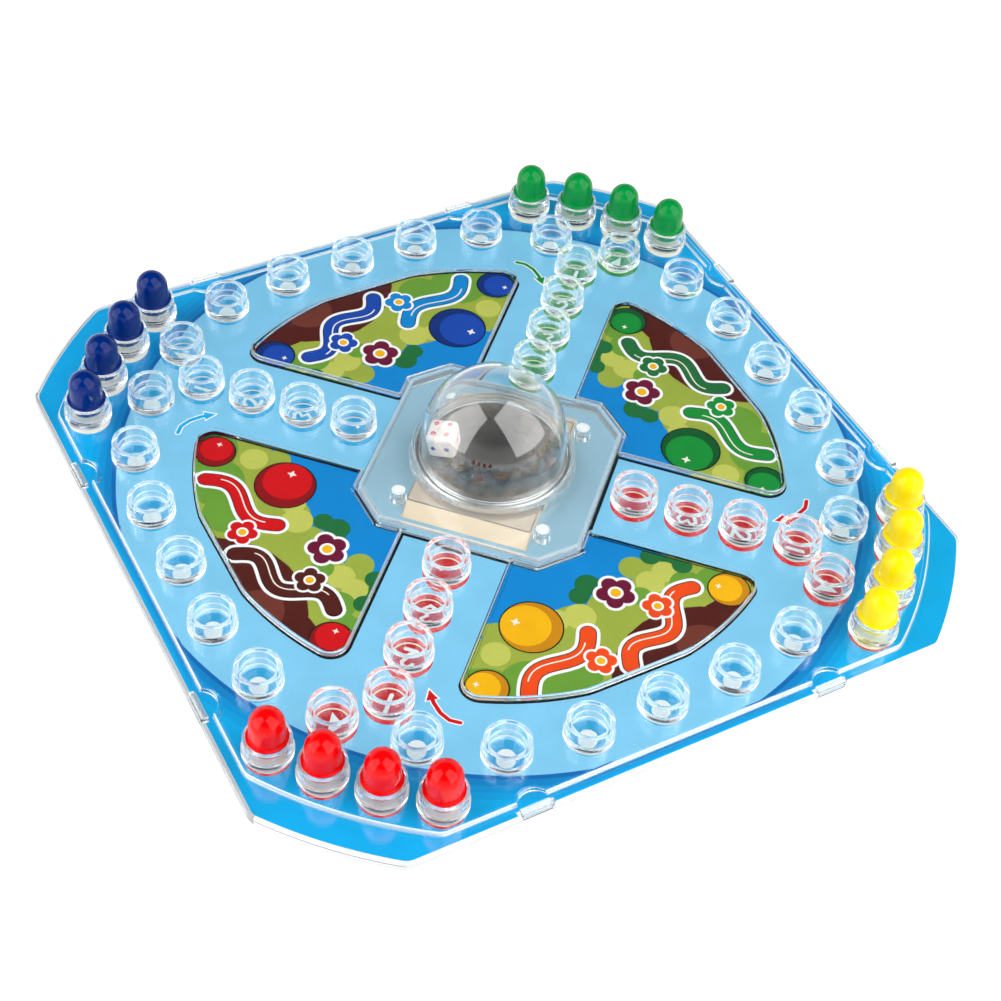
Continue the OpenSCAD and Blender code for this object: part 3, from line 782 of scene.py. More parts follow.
# %% Clear cover
def clear_cover():
    """Upper and lower skins as bands down each edge, with flat fills between them."""
    outer, ridge, hollow, mouth = cover_edges()
    pads = [pad_edges(90 * k) for k in range(4)]
    surfaces = [(*band(outer), side_numbers(outer)), (*band(ridge), ridge_numbers(ridge)), band(hollow),
                band(mouth)]
    for wall, inner in pads:
        surfaces += [(*band(wall), 2), fill(PAD_TOP, wall[0]), band(inner), fill(PAD_UNDER, inner[0])]
    return surfaces + [
        fill(LEDGE_TOP, outer[0], ridge[-1]),
        fill(PLATEAU_TOP, ridge[0], mouth[0], *[wall[-1] for wall, _ in pads]),
        fill(PLATEAU_UNDER, hollow[0], mouth[-1], *[inner[-1] for _, inner in pads]),
        fill(COVER_FOOT, outer[-1], hollow[-1])]


piece("clear_cover", clear_cover(), SHEET_PLASTICS, "board", "top_cover")

# %% [markdown]
# The tray is moulded in the same clear plastic. It is a shallow pan with a low wall, eight hooks that grow
# out of the wall and bend in over the ledge, and four pins for the dome housing.

# %% Tray with hooks and pins
FLOOR_TOP = 1.5
HOOK_AIR, HOOK_T, HOOK_ROOT, HOOK_OVER = 0.05, 1.0, 0.8, 1.2
HOOK_UNDER = LEDGE_TOP + HOOK_AIR
HOOK_TOP = HOOK_UNDER + HOOK_T
HOOK_REACH = TRAY_WALL + SLOT_GAP + HOOK_OVER
PIN_AT, PIN_R, PIN_TOP = 37.0, 1.2, 5.9
PIN_TIP_H, PIN_TIP_SHARE = 0.3, 0.75
PIN_PLACES = [turn([[PIN_AT, 0]], 90 * k)[0] for k in range(4)]


def hook_surface(angle, x):
    """A tongue with an inward barb: its side profile, carried across the hook's width. Each corner of the
    profile is its distance from the board's middle, its height and its rounding."""
    inner, barb, root = CASE_HALF - TRAY_WALL, CASE_HALF - HOOK_REACH, TRAY_TOP - HOOK_ROOT
    corners = np.array([[inner, root, 0.02], [CASE_HALF, root, 0.02], [CASE_HALF, HOOK_TOP, 0.5],
                        [barb, HOOK_TOP, 0.5], [barb, HOOK_UNDER, 0.1], [inner, HOOK_UNDER, 0.05]])
    profile = rounded(corners[:, :2], corners[:, 2], 3)
    ends = []
    for side in (-HOOK_W / 2, HOOK_W / 2):
        seen = turn(np.column_stack([np.full(len(profile), x + side), profile[:, 0]]), angle)
        ends.append(np.column_stack([seen, profile[:, 1]]))
    fan = np.array([[0, i, i + 1] for i in range(1, len(profile) - 1)])
    return [band(ends), (ends[0], fan), (ends[1], fan)]


def tray_ring(inset, z):
    """The tray's edge, drawn in by inset, at height z."""
    return lifted(case_outline(CASE_HALF, CASE_ROUND, CASE_FILLET, inset), z)


def tray():
    """The outer wall with its rounded foot, the inner wall, the floor's two faces, then pins and hooks."""
    outside = [tray_ring(i, d) for i, d in edge_round(TRAY_FOOT)]
    outside += [tray_ring(0, TRAY_TOP - SEAM), tray_ring(0, TRAY_TOP)]
    inside = [tray_ring(TRAY_WALL, TRAY_TOP), tray_ring(TRAY_WALL, FLOOR_TOP)]
    feet = [circle(p, PIN_R, 24) for p in PIN_PLACES]
    surfaces = [(*band(outside), side_numbers(outside)), band(inside), fill(0, outside[0]),
                fill(TRAY_TOP, outside[-1], inside[0]), fill(FLOOR_TOP, inside[-1], *feet)]
    for p, foot in zip(PIN_PLACES, feet):
        tip = p + (foot - p) * PIN_TIP_SHARE
        pin = [lifted(foot, FLOOR_TOP), lifted(foot, PIN_TOP - PIN_TIP_H), lifted(tip, PIN_TOP)]
        surfaces += [band(pin), fill(PIN_TOP, tip)]
    for k in range(4):
        for x in (-HOOK_AT, HOOK_AT):
            surfaces += hook_surface(90 * k, x)
    return surfaces


piece("clear_tray", tray(), SHEET_PLASTICS, "board", "base_tray")

# %% [markdown]
# Sixty cups stand on the cover. Each is a turned profile: a wider foot, a step, a thin wall with a rounded
# rim, the bore and a thick floor. The track has seven cups a side, the home columns four each on the
# diagonals, and four start cups stand in each corner.

# %% Places of the cups
TRACK_FLAT, TRACK_ROUND, TRACK_PITCH, TRACK_CUPS = 117.1, 125.0, 27.3, 28
HOME_FIRST, HOME_LAST = 52.1, 110.7
START_ROUND, START_STEP = 144.8, 7.56
PLAYERS = {"blue": 135, "green": 45, "yellow": -45, "red": -135}


def track_place(k):
    """Cup k of a side, counted from its middle: three in a straight row, the rest on the track's circle."""
    if abs(k) < 2:
        return k * TRACK_PITCH, TRACK_FLAT
    angle = 2 * pi * k / TRACK_CUPS
    return TRACK_ROUND * sin(angle), TRACK_ROUND * cos(angle)


track = {i + 1: turn([track_place(k) for k in range(-3, 4)], a) for i, a in enumerate((0, -90, 180, 90))}
home = {player: turn([[HOME_FIRST + i * (HOME_LAST - HOME_FIRST) / 3, 0] for i in range(4)], angle)
        for player, angle in PLAYERS.items()}
start = {player: np.array([turn([[START_ROUND, 0]], angle + (i - 1.5) * START_STEP)[0] for i in range(4)])
         for player, angle in PLAYERS.items()}
print("cups:", sum(len(places) for row in (track, home, start) for places in row.values()))

# %% [markdown]
# A cup's rim and the foot of its wall catch the light as the sheets' edges do, and that light is painted on
# them as a share of white. The profile gets one more point under the wall, so that only the foot's ring is
# painted pale and the print shows clear through the floor.

# %% Clear cups
CUP_R, BORE_R, FOOT_R = 7.8, 6.1, 8.35
RIM_Z, BORE_Z, FOOT_TOP = 13.2, 6.7, 8.2
CUP_BASE = PLATEAU_TOP + SLACK
RIM_EASE, PALE_FROM = 0.3, BORE_R + 0.2
CUP_PLASTICS = [cup_clear, rim_edge, foot_edge]


def cup_profile():
    """Out along the underside, up foot and wall, over the rim, down the bore and in along its floor."""
    step = FOOT_TOP + FOOT_R - CUP_R
    profile = smooth_profile([
        [0, CUP_BASE, 0], [FOOT_R, CUP_BASE, 0.3], [FOOT_R, FOOT_TOP, 0.25], [CUP_R, step, 0.3],
        [CUP_R, RIM_Z, RIM_EASE], [BORE_R, RIM_Z, RIM_EASE], [BORE_R, BORE_Z, 0.35], [0, BORE_Z, 0]])
    return np.insert(profile, 1, [PALE_FROM, CUP_BASE], axis=0)


def cup_numbers(profile):
    """Material 1 on the rounding between rim and bore, 2 under the wall's foot, and 0 elsewhere."""
    r, z = ((profile[:-1] + profile[1:]) / 2).T
    rim = (np.abs(r - BORE_R) < RIM_EASE) & (z > RIM_Z - RIM_EASE - SLACK)
    return rim + 2 * ((z < CUP_BASE + SLACK) & (r > PALE_FROM))


def cups(row, label, centres):
    """The cups of one row as one piece, in the place of the row's sockets."""
    profile = cup_profile()
    surfaces = [turned(profile, 56, c, cup_numbers(profile)) for c in centres]
    piece(f"{row}_cups_{label}", surfaces, CUP_PLASTICS, "board", f"{row}_sockets_{label}")


for number, centres in track.items():
    cups("track", number, centres)
for player in PLAYERS:
    cups("home", player, home[player])
    cups("start", player, start[player])

# %% [markdown]
# The dome housing is a low square box of clear plastic turned onto the diagonals, with a round collar on
# top. A lip inside the collar's top holds the dome down. Four bosses under its cut corners sit on the
# tray's pins, and a round groove in the top marks each of them.

# %% Dome housing
CARD_TOP = 2.5
HOUSING_TOP, HOUSING_T, HOUSING_ROUND, HOUSING_EDGE_R = 7.7, 1.5, 2.2, 1.4
HOUSING_UNDER, HOUSING_FOOT = HOUSING_TOP - HOUSING_T, CARD_TOP + AIR
COLLAR_R, COLLAR_BORE, LIP_R = 29.6, 27.9, 26.0
COLLAR_TOP, LIP_T, TAPER_H, TAPER = 13.3, 1.3, 2.5, 0.9
BOSS_R, BORE_AIR, BORE_ROOF = 3.0, 0.04, 1.6
SINK_OUT, SINK_IN, SINK_DEPTH, SINK_DRAFT = 2.4, 1.3, 0.4, 0.2


def housing_ring(inset, z):
    """The housing's edge, drawn in by inset, at height z."""
    return lifted(housing_outline(HOUSING_HALF, HOUSING_CUT, HOUSING_ROUND, inset), z)


def collar_rings():
    """Up the collar's outside and its taper, over the top and round the lip, and down the bore."""
    taper_z, lip_z = COLLAR_TOP - TAPER_H, COLLAR_TOP - LIP_T
    profile = smooth_profile([
        [COLLAR_R, HOUSING_TOP, 0], [COLLAR_R, taper_z, 2.0], [COLLAR_R - TAPER, COLLAR_TOP, 0.9],
        [LIP_R, COLLAR_TOP, 0.4], [LIP_R, lip_z, 0.2], [COLLAR_BORE, lip_z, 0.3],
        [COLLAR_BORE, HOUSING_UNDER, 0]], 5)
    return [lifted(circle((0, 0), r, 96), z) for r, z in profile]


def boss_surfaces(centre):
    """The groove in the top and the disc inside it, the boss's wall, its foot, and the bore with its roof."""
    circles = [(SINK_OUT, HOUSING_TOP), (SINK_OUT - SINK_DRAFT, HOUSING_TOP - SINK_DEPTH),
               (SINK_IN + SINK_DRAFT, HOUSING_TOP - SINK_DEPTH), (SINK_IN, HOUSING_TOP)]
    groove = [lifted(circle(centre, r, 32), z) for r, z in circles]
    boss, bore = circle(centre, BOSS_R, 32), circle(centre, PIN_R + BORE_AIR, 32)
    roof = HOUSING_TOP - BORE_ROOF
    # The groove and the disc inside it take the white edge plastic: a painted highlight over each boss.
    return [(*band(groove), 2), (*fill(HOUSING_TOP, groove[-1]), 2),
            band([lifted(boss, HOUSING_UNDER), lifted(boss, HOUSING_FOOT)]), fill(HOUSING_FOOT, boss, bore),
            band([lifted(bore, HOUSING_FOOT), lifted(bore, roof)]), fill(roof, bore)]


def dome_housing():
    """The outer and inner walls, the collar, and the flat faces between them, then the four bosses."""
    outside = [housing_ring(i, HOUSING_TOP - d) for i, d in edge_round(HOUSING_EDGE_R, 6)]
    outside.append(housing_ring(0, HOUSING_FOOT))
    inside = [housing_ring(HOUSING_T, HOUSING_FOOT), housing_ring(HOUSING_T, HOUSING_UNDER)]
    collar = collar_rings()
    sinks, bosses = ([circle(c, r, 32) for c in PIN_PLACES] for r in (SINK_OUT, BOSS_R))
    # The outer wall takes the housing's edge plastic, whose share of white is painted light.
    surfaces = [(*band(outside), 1), band(inside), band(collar),
                fill(HOUSING_TOP, outside[0], collar[0], *sinks),
                fill(HOUSING_UNDER, inside[-1], collar[-1], *bosses),
                fill(HOUSING_FOOT, outside[-1], inside[0])]
    for centre in PIN_PLACES:
        surfaces += boss_surfaces(centre)
    return surfaces


piece("dome_housing_clear", dome_housing(), [housing_clear, housing_edge, bright_edge], "board",
      "dome_housing")

# %% [markdown]
# The dome is a thin half ball on a short straight wall, moulded clear and polished. Its flange is under the
# collar's lip and its foot stands on the rim of the steel disc.

# %% Dome
DOME_R, DOME_T, BALL_Z = 25.7, 1.2, 19.4
WALL_TOP = BALL_Z - 1
FLANGE_R, FLANGE_Z, FLANGE_T = 27.6, 10.6, 1.2
FOOT_IN, FOOT_STEP = 26.2, 0.5


def dome():
    """Outer quarter circle down to the flange, round its foot, and the inner quarter circle back up."""
    inner = DOME_R - DOME_T
    outer_ball, inner_ball = (arc((0, BALL_Z), r, 90, 0, 40) for r in (DOME_R, inner))
    flange_top, foot_top = FLANGE_Z + FLANGE_T, FLANGE_Z + FOOT_STEP
    foot = smooth_profile([
        [DOME_R, WALL_TOP, 0], [DOME_R, flange_top, 0.3], [FLANGE_R, flange_top, 0.3],
        [FLANGE_R, FLANGE_Z, 0.2], [FOOT_IN, FLANGE_Z, 0.2], [FOOT_IN, foot_top, 0.1],
        [inner, foot_top, 0.2], [inner, WALL_TOP, 0]], 3)
    profile = np.concatenate([outer_ball, foot, inner_ball[::-1]])
    profile[0, 0] = profile[-1, 0] = 0
    return [turned(profile, 128)]


piece("press_dome", dome(), [dome_clear], "dome", "dome")

# %% [markdown]
# The click disc is a shallow cap of sprung steel. Its seat is a ring on the block, and the dome's foot
# pushes its rim. In use the rim goes down with the dome while the middle stays on its seat. Here the disc is
# taken off the board's body and its points are read, but its mesh is left as it is.

# %% Click disc
DISC_R, DISC_RISE, DISC_T = 27.2, 3.2, 0.4
DISC_AIR, RIM_OUT = 0.05, 0.08
SEAT_R = 20.0
DISC_BALL = (DISC_R ** 2 + DISC_RISE ** 2) / (2 * DISC_RISE)


def cap_height(r):
    """How high the cap is above its rim's plane at radius r: a ball's surface, less the depth it is sunk."""
    return np.sqrt(DISC_BALL ** 2 - np.asarray(r) ** 2) - (DISC_BALL - DISC_RISE)


DISC_Z = FLANGE_Z - DISC_AIR - float(cap_height(FOOT_IN))


def click_disc():
    """Out along the cap's top, round its rim, and back along its underside, DISC_T lower."""
    r = np.linspace(0, DISC_R, 33)
    top = np.column_stack([r, DISC_Z + cap_height(r)])
    rim = [[DISC_R + RIM_OUT, DISC_Z - share * DISC_T] for share in (0.3, 0.7)]
    return [turned(np.concatenate([top, rim, top[::-1] - [0, DISC_T]]), 96)]


def bend_with_dome(disc):
    """Takes the disc off the board's body, bakes its place into its points and reads their coordinates.
    The points are left as they are; nothing bends."""
    disc.parent = None
    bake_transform(disc)
    co = np.zeros(len(disc.data.vertices) * 3)
    disc.data.vertices.foreach_get("co", co)


disc = piece("steel_click_disc", click_disc(), [disc_steel], "board", "click_disc",
             weighted=False)
bend_with_dome(disc)
print("disc middle", round(DISC_Z + DISC_RISE, 2), "rim", round(DISC_Z, 2))

# %% [markdown]
# The block under the disc is a cream moulding that shows through the housing. It has sloping ends, a fine
# groove round its top and a raised ring for the disc.

# %% Spring block
BLOCK_HALF_L, BLOCK_LEAN, BLOCK_HALF_W, BLOCK_TOP = 33.4, 5.2, 22.463, 6.1
BLOCK_EDGE, BLOCK_ROUND, BLOCK_ROUND_LEAST = [(0.3, 0), (0.5, 0.4), (0.1, 0.4), (0, 0.5)], 1.0, 0.3
SEAT_T = 3.0
SEAT_TOP = DISC_Z + float(cap_height(SEAT_R)) - DISC_T - DISC_AIR


def block_ring(z, inset=0.0):
    """A rounded rectangle at height z. Its ends draw in evenly, by BLOCK_LEAN from the floor to the top."""
    share = (z - FLOOR_TOP) / (BLOCK_TOP - FLOOR_TOP)
    x, y = BLOCK_HALF_L - BLOCK_LEAN * share - inset, BLOCK_HALF_W - inset
    radius = max(BLOCK_ROUND - inset, BLOCK_ROUND_LEAST)
    corners = rounded([[-x, -y], [x, -y], [x, y], [-x, y]], [radius] * 4, 4)
    return lifted(turn(corners, 45), z)


def spring_block():
    """The sides up to the edge's groove, whose (drop, inset) pairs are BLOCK_EDGE, then the seat's ring."""
    sides = [block_ring(FLOOR_TOP)] + [block_ring(BLOCK_TOP - drop, inset) for drop, inset in BLOCK_EDGE]
    # Material 1, on the top's band here and on the flat top outside the seat, is painted shade, and 2 in the
    # groove is darker painted shade.
    shade = np.repeat([0, 2, 2, 1], len(sides[0]))
    inner = SEAT_R - SEAT_T
    profile = smooth_profile([[SEAT_R, BLOCK_TOP, 0], [SEAT_R, SEAT_TOP, 0.3], [inner, SEAT_TOP, 0.3],
                              [inner, BLOCK_TOP, 0]])
    seat = [lifted(circle((0, 0), r, 64), z) for r, z in profile]
    return [(*band(sides), shade), band(seat), fill(FLOOR_TOP, sides[0]),
            (*fill(BLOCK_TOP, sides[-1], seat[0]), 1), fill(BLOCK_TOP, seat[-1])]


piece("cream_block", spring_block(), [cream_plastic, shaded_cream_top, groove_shade_cream], "board",
      "spring_block")

# %% [markdown]
# The die is a cube with generous rounding. Its points come from a unit cube's six grids: each point is
# pulled in to an inner cube and pushed out again by the rounding radius, which gives flat faces, quarter
# round edges and ball corners. The pips are small hollows with paint in them, rubbed off in the middle of
# the red ones.

# %% Die
DIE_HALF, DIE_ROUND = 5.1, 2.0
DIE_OUT, DIE_DIR, DIE_TURN, DIE_AIR = 17.1, 155.5, 164.0, 0.05
PIP_AT, PIP_R, PIP_DEPTH, PIP_BARE = 2.4, 0.9, 0.3, 0.28
FOUR = [(-1, -1), (-1, 1), (1, -1), (1, 1)]
PIPS = {
    (0, 0, 1): FOUR, (0, -1, 0): [(-1, 0), (1, 0)], (0, 1, 0): FOUR + [(0, 0)], (1, 0, 0): [(0, 0)],
    (-1, 0, 0): FOUR + [(-1, 0), (1, 0)], (0, 0, -1): [(-1, -1), (0, 0), (1, 1)],
}
RED_FACES = ((0, 0, 1), (1, 0, 0))
red_paint = moulded("red_pip_paint", "C81A2C", 0.35)
blue_paint = moulded("blue_pip_paint", "2A2A78", 0.35)


def die_face(normal, spots, steps=64):
    """A grid over one cube face, rounded. Each pip is pressed in by PIP_DEPTH times the square root of
    1 - distance / PIP_R, and takes paint 1 on the red faces and 2 on the others."""
    n = np.array(normal, float)
    u = np.array([1.0, 0, 0]) if abs(n[0]) < 0.5 else np.array([0, 1.0, 0])
    v = np.cross(n, u)
    s = np.linspace(-1, 1, steps + 1) * DIE_HALF
    a, b = np.meshgrid(s, s, indexing="ij")
    cube = n * DIE_HALF + a[..., None] * u + b[..., None] * v
    core = np.clip(cube, -(DIE_HALF - DIE_ROUND), DIE_HALF - DIE_ROUND)
    out = cube - core
    points = core + out / np.linalg.norm(out, axis=-1, keepdims=True) * DIE_ROUND
    near = np.min([np.hypot(a - x * PIP_AT, b - y * PIP_AT) for x, y in spots], axis=0)
    points -= n * (PIP_DEPTH * np.sqrt(np.clip(1 - near / PIP_R, 0, 1)))[..., None]
    k = steps + 1
    i, j = np.meshgrid(np.arange(steps), np.arange(steps), indexing="ij")
    quads = np.stack([i * k + j, (i + 1) * k + j, (i + 1) * k + j + 1, i * k + j + 1], -1).reshape(-1, 4)
    middle = near.reshape(-1)[quads].mean(1)
    paint = (middle < PIP_R) & (middle > PIP_BARE) if normal in RED_FACES else 2 * (middle < PIP_R)
    return points.reshape(-1, 3), quads, paint


def die_place(points):
    """Turned about its own axis, set on the disc's ball at DIE_OUT from the middle, and turned to DIE_DIR."""
    spin = Matrix.Rotation(radians(DIE_TURN), 4, "Z")
    onto_ball = Matrix.Translation((0, 0, DISC_BALL + DIE_AIR + DIE_HALF))
    lean = Matrix.Rotation(np.arcsin(DIE_OUT / DISC_BALL), 4, "Y")
    ball_centre = Matrix.Translation((0, 0, DISC_Z - (DISC_BALL - DISC_RISE)))
    m = np.array(Matrix.Rotation(radians(DIE_DIR), 4, "Z") @ ball_centre @ lean @ onto_ball @ spin)
    return points @ m[:3, :3].T + m[:3, 3]


def white_die():
    """The six faces, each put where the die lies."""
    faces = [die_face(normal, spots) for normal, spots in PIPS.items()]
    return [(die_place(points), quads, paint) for points, quads, paint in faces]


piece("white_die", white_die(), [die_plastic, red_paint, blue_paint], "die", "die",
      weighted=False)

# %% [markdown]
# A peg is a round-headed bullet, slightly wider at its foot, with a thin flange that rests on the cup's rim
# and a stem inside the cup. One turned profile makes all sixteen.

# %% Pegs
PEG_R, PEG_FOOT_R, PEG_FLANGE_R, PEG_STEM_R = 5.75, 6.0, 6.8, 5.1
PEG_HEAD_Z, PEG_HEAD_H, PEG_Z = 19.75, 5.85, 9.4
PEG_FLANGE_TOP, PEG_FLANGE_T = 14.05, 0.8
PEG_BODY_R, PEG_BODY_Z = PEG_FOOT_R - 0.04, PEG_FLANGE_TOP + 0.8


def peg_profile():
    """Up from the stem's flat end over the flange, then the body's easy taper and the round head."""
    flange_z = PEG_FLANGE_TOP - PEG_FLANGE_T
    low = smooth_profile([
        [0, PEG_Z, 0], [PEG_STEM_R, PEG_Z, 0.5], [PEG_STEM_R, flange_z, 0.1], [PEG_FLANGE_R, flange_z, 0.25],
        [PEG_FLANGE_R, PEG_FLANGE_TOP, 0.3], [PEG_FOOT_R, PEG_FLANGE_TOP, 0.3], [PEG_BODY_R, PEG_BODY_Z, 0]])
    body = np.linspace([PEG_BODY_R, PEG_BODY_Z], [PEG_R, PEG_HEAD_Z], 7)[1:-1]
    t = np.radians(np.linspace(0, 90, 15))
    head = np.column_stack([PEG_R * np.cos(t), PEG_HEAD_Z + PEG_HEAD_H * np.sin(t)])
    head[-1, 0] = 0
    return np.concatenate([low, body, head])


for player in PLAYERS:
    for i, centre in enumerate(start[player]):
        node, shape = f"{player}_peg_{i + 1}", turned(peg_profile(), 48, centre)
        piece("playing_" + node, [shape], [peg_plastic[player]], node, node)

# %% [markdown]
# The card is one flat print. All its shapes go into a single flat mesh: a constrained triangulation cuts
# the card along every outline, and each small face takes the ink of the last shape drawn over it, as a
# painter's later strokes cover the earlier ones. Lines, stars and figures are outlines like the rest.

# %% Print shapes
DIGIT_LINE = 0.24
DIGITS = {
    1: [[(-0.25, 0.32), (0.02, 0.55), (0.02, -0.55)]],
    2: [[(-0.3, 0.3), (-0.15, 0.52), (0.15, 0.52), (0.3, 0.28), (0.1, -0.1), (-0.3, -0.5)],
        [(-0.3, -0.5), (0.34, -0.5)]],
    3: [[(-0.3, 0.42), (0.0, 0.56), (0.28, 0.34), (0.0, 0.05), (0.3, -0.25), (0.0, -0.56), (-0.32, -0.4)]],
    4: [[(0.12, -0.55), (0.12, 0.55), (-0.32, -0.15), (0.36, -0.15)]],
}


def stroke(points, width, tip=4):
    """The outline of a line of the given width with round ends, along a bent path."""
    p = np.asarray(points, float)
    d = np.gradient(p, axis=0)
    d /= np.linalg.norm(d, axis=1, keepdims=True)
    n = np.column_stack([-d[:, 1], d[:, 0]]) * width / 2
    a0 = degrees(atan2(n[0, 1], n[0, 0]))
    a1 = degrees(atan2(-n[-1, 1], -n[-1, 0]))
    first = arc(p[0], width / 2, a0, a0 + 180, 2 * tip)[1:-1]
    last = arc(p[-1], width / 2, a1, a1 + 180, 2 * tip)[1:-1]
    return np.concatenate([(p + n)[::-1], first, p - n, last])


def star(centre, radius, turned_by, points=5, waist=0.5, soft=0.16):
    """A star's corners on two circles, each eased by an arc."""
    a = np.radians(turned_by + np.arange(2 * points) * 180 / points)
    r = np.where(np.arange(2 * points) % 2 == 0, radius, radius * waist)
    corners = np.column_stack([centre[0] + r * np.cos(a), centre[1] + r * np.sin(a)])
    return rounded(corners, [radius * soft * (0.6 if i % 2 == 0 else 1.0) for i in range(2 * points)], 3)


def digit(number, centre, size, angle):
    """A plain figure drawn as strokes."""
    return [stroke(turn(np.array(line) * size, angle) + centre, size * DIGIT_LINE) for line in DIGITS[number]]


print("figures for the home cups:", list(DIGITS))

# %% [markdown]
# The pictures on the four pads are made up for this board: a strip of sky, bushes as heaps of round leaves,
# a patch of soil, shaded balls in the side's colour, wavy ribbons and flowers. Each is the same layout,
# turned, in its own colours. The print lies PRINT_OFF off its place, so it ends inside the near edges.

# %% Pad pictures
PAD_PRINT_IN, PAD_LINE = 0.3, 0.9
PRINT_OFF = [0.798, 1.270]
SIDE_LOOKS = {0: ("yellow", "orange", "orange"), 90: ("green", "green", "forest"),
              180: ("blue", "sky", "blue"), 270: ("red", "red", "bark")}
HEAPS = [
    ("olive", [(-44, -84, 17), (-26, -78, 14), (-9, -80, 13), (10, -80, 15), (30, -78, 16), (50, -86, 14),
               (0, -100, 30), (31, -66, 7), (40, -72, 7), (22, -62, 5), (-34, -68, 5)]),
    ("forest", [(30, -60, 3.6), (36, -63, 4)]),
    ("moss", [(-13, -71, 4.5), (-5, -73, 5.5), (24, -70, 5), (31, -68, 4.5), (-38, -75, 5), (10, -91, 6)]),
    ("leaf", [(-50, -90, 13), (-34, -92, 11), (-18, -93, 9), (35, -76, 6), (44, -78, 5.5), (18, -74, 4)]),
    ("forest", [(4, -62, 4.5), (9, -65, 4), (-1, -65, 3.6), (38, -68, 3.6), (-58, -92, 12), (-57, -78, 4)]),
    ("bark", [(20, -116, 33), (42, -112, 26)]),
    ("clay", [(26, -101, 9)]),
]


def ball(centre, radius, colour):
    """A black line, the colour's deep shade, the colour itself off to one side, and a four-pointed glint."""
    c = np.array(centre, float)
    return [("black", circle(c, radius + 0.5, 40)), ("deep_" + colour, circle(c, radius, 40)),
            (colour, circle(c + np.array([-0.13, 0.13]) * radius, 0.82 * radius, 40)),
            ("cream", star(c + np.array([-0.36, 0.4]) * radius, 0.2 * radius, 45, 4, 0.35))]


def ribbon(a, b, waves, colour, swing=3.6, width=5.2):
    """A wavy line from a to b, swing sin(2 pi waves t) off the straight, with a black and a white border."""
    a, b = np.array(a, float), np.array(b, float)
    t = np.linspace(0, 1, 48)[:, None]
    side = np.array([-(b - a)[1], (b - a)[0]]) / np.linalg.norm(b - a)
    path = a + (b - a) * t + side * swing * np.sin(2 * pi * waves * t)
    return [("white", stroke(path, width + 3.0)), ("black", stroke(path, width + 0.7)),
            (colour, stroke(path, width)), ("cream", stroke(path[6:-6] + side * 0.16 * width, 0.5))]


def flower(centre, radius, colour, turned_by):
    """Five round petals with a white border round them and a yellow middle."""
    c = np.array(centre, float)
    angles = radians(turned_by) + 2 * pi * np.arange(5) / 5
    petals = [c + 0.62 * radius * np.array([cos(a), sin(a)]) for a in angles]
    return ([("white", circle(q, 0.62 * radius, 24)) for q in petals]
            + [(colour, circle(q, 0.45 * radius, 24)) for q in petals]
            + [("white", circle(c, 0.42 * radius, 20)), ("yellow", circle(c, 0.28 * radius, 20))])


def pad_picture(angle, colour, first, second):
    """The masks of one pad, and its layers in drawing order: a black line, the sky and the pictures, each
    with the number of masks it needs. All are turned by angle."""
    away = turn(PRINT_OFF, -angle)
    masks = [pad_outline(-PAD_LINE), pad_outline(-PAD_LINE) + away, pad_outline(PAD_PRINT_IN),
             pad_outline(PAD_PRINT_IN) + away]
    art = [(name, circle((x, y), r, 28)) for name, spots in HEAPS for x, y, r in spots]
    art += ball((-22, -70), 10.5, colour) + ball((-47, -86), 7.0, colour) + ball((47, -84), 7.0, colour)
    art += ribbon((-36, -94), (-6, -80), 1.0, first) + ribbon((0, -98), (36, -78), 1.5, second)
    art += flower((11, -69), 6.4, "plum", 20) + flower((-8, -92), 5.0, first, 50)
    art += flower((21, -80), 5.0, second, 5)
    layers = [("black", 2, masks[0]), ("sky", 4, masks[0])] + [(name, 4, shape) for name, shape in art]
    layers = [(name, needs, turn(shape, angle)) for name, needs, shape in layers]
    return [turn(mask, angle) for mask in masks], layers


print("shapes in a pad's picture:", len(pad_picture(0, *SIDE_LOOKS[0])[1]))

# %% [markdown]
# Round the pads come the plain parts of the print: the round light-blue field with its darker edge, a
# coloured ring and disc under each cup, and a curved arrow at each corner that shows where pegs enter.

# %% Printed layers
CARD_IN = TRAY_WALL + 0.2
FIELD_R, FIELD_HALF, FIELD_LINE, SHADE_STEP = 133.0, 130.0, 1.5, 2.5
TRACK_DISC_R, TRACK_DOT_R = 6.9, 3.2
RING_R, RING_IN, DISC_IN, DIGIT_SIZE = 8.1, 6.1, 5.5, 6.0
START_RING_R, START_DISC_R = 7.6, 6.7
ENTRY_MARK = [[-4.2, -1.6], [4.2, -0.4], [-1.0, 3.0]]
ARROW = np.array([(-94.5, 61.0), (-92.2, 63.6), (-88.3, 65.0), (-84.0, 65.1), (-81.9, 64.8)])
ARROW_HEAD, ARROW_LEAN = [[-0.8, -2.0], [3.2, 0], [-0.8, 2.0]], 12
ARROW_LINE, ARROW_BORDER, ARROW_GROWN = 1.4, 2.2, 1.35
HOUSING_LINE, HOUSING_PRINT, HOUSING_PRINT_ROUND = 1.3, 0.1, 2.0
RING_INK = {"blue": "cream", "green": "cream", "yellow": "red", "red": "red"}
HOME_INK = {"blue": "disc_blue", "green": "green", "yellow": "red", "red": "red"}
ARROW_INK = {0: "mid_blue", 90: "red", 180: "red", 270: "green"}


def field(inset):
    """The light-blue area: a circle clipped by a square, whose sides draw in by a third of the inset."""
    t = np.linspace(0, 2 * pi, 361)[:-1]
    square = (FIELD_HALF - inset / 3) / np.maximum(np.abs(np.cos(t)), np.abs(np.sin(t)))
    reach = np.minimum(FIELD_R - inset, square)
    return np.column_stack([reach * np.cos(t), reach * np.sin(t)])


def target(centre, player):
    """The player's ring and disc with a cream ring between them."""
    return [(HOME_INK[player], circle(centre, RING_R)), ("cream", circle(centre, RING_IN)),
            (HOME_INK[player], circle(centre, DISC_IN))]


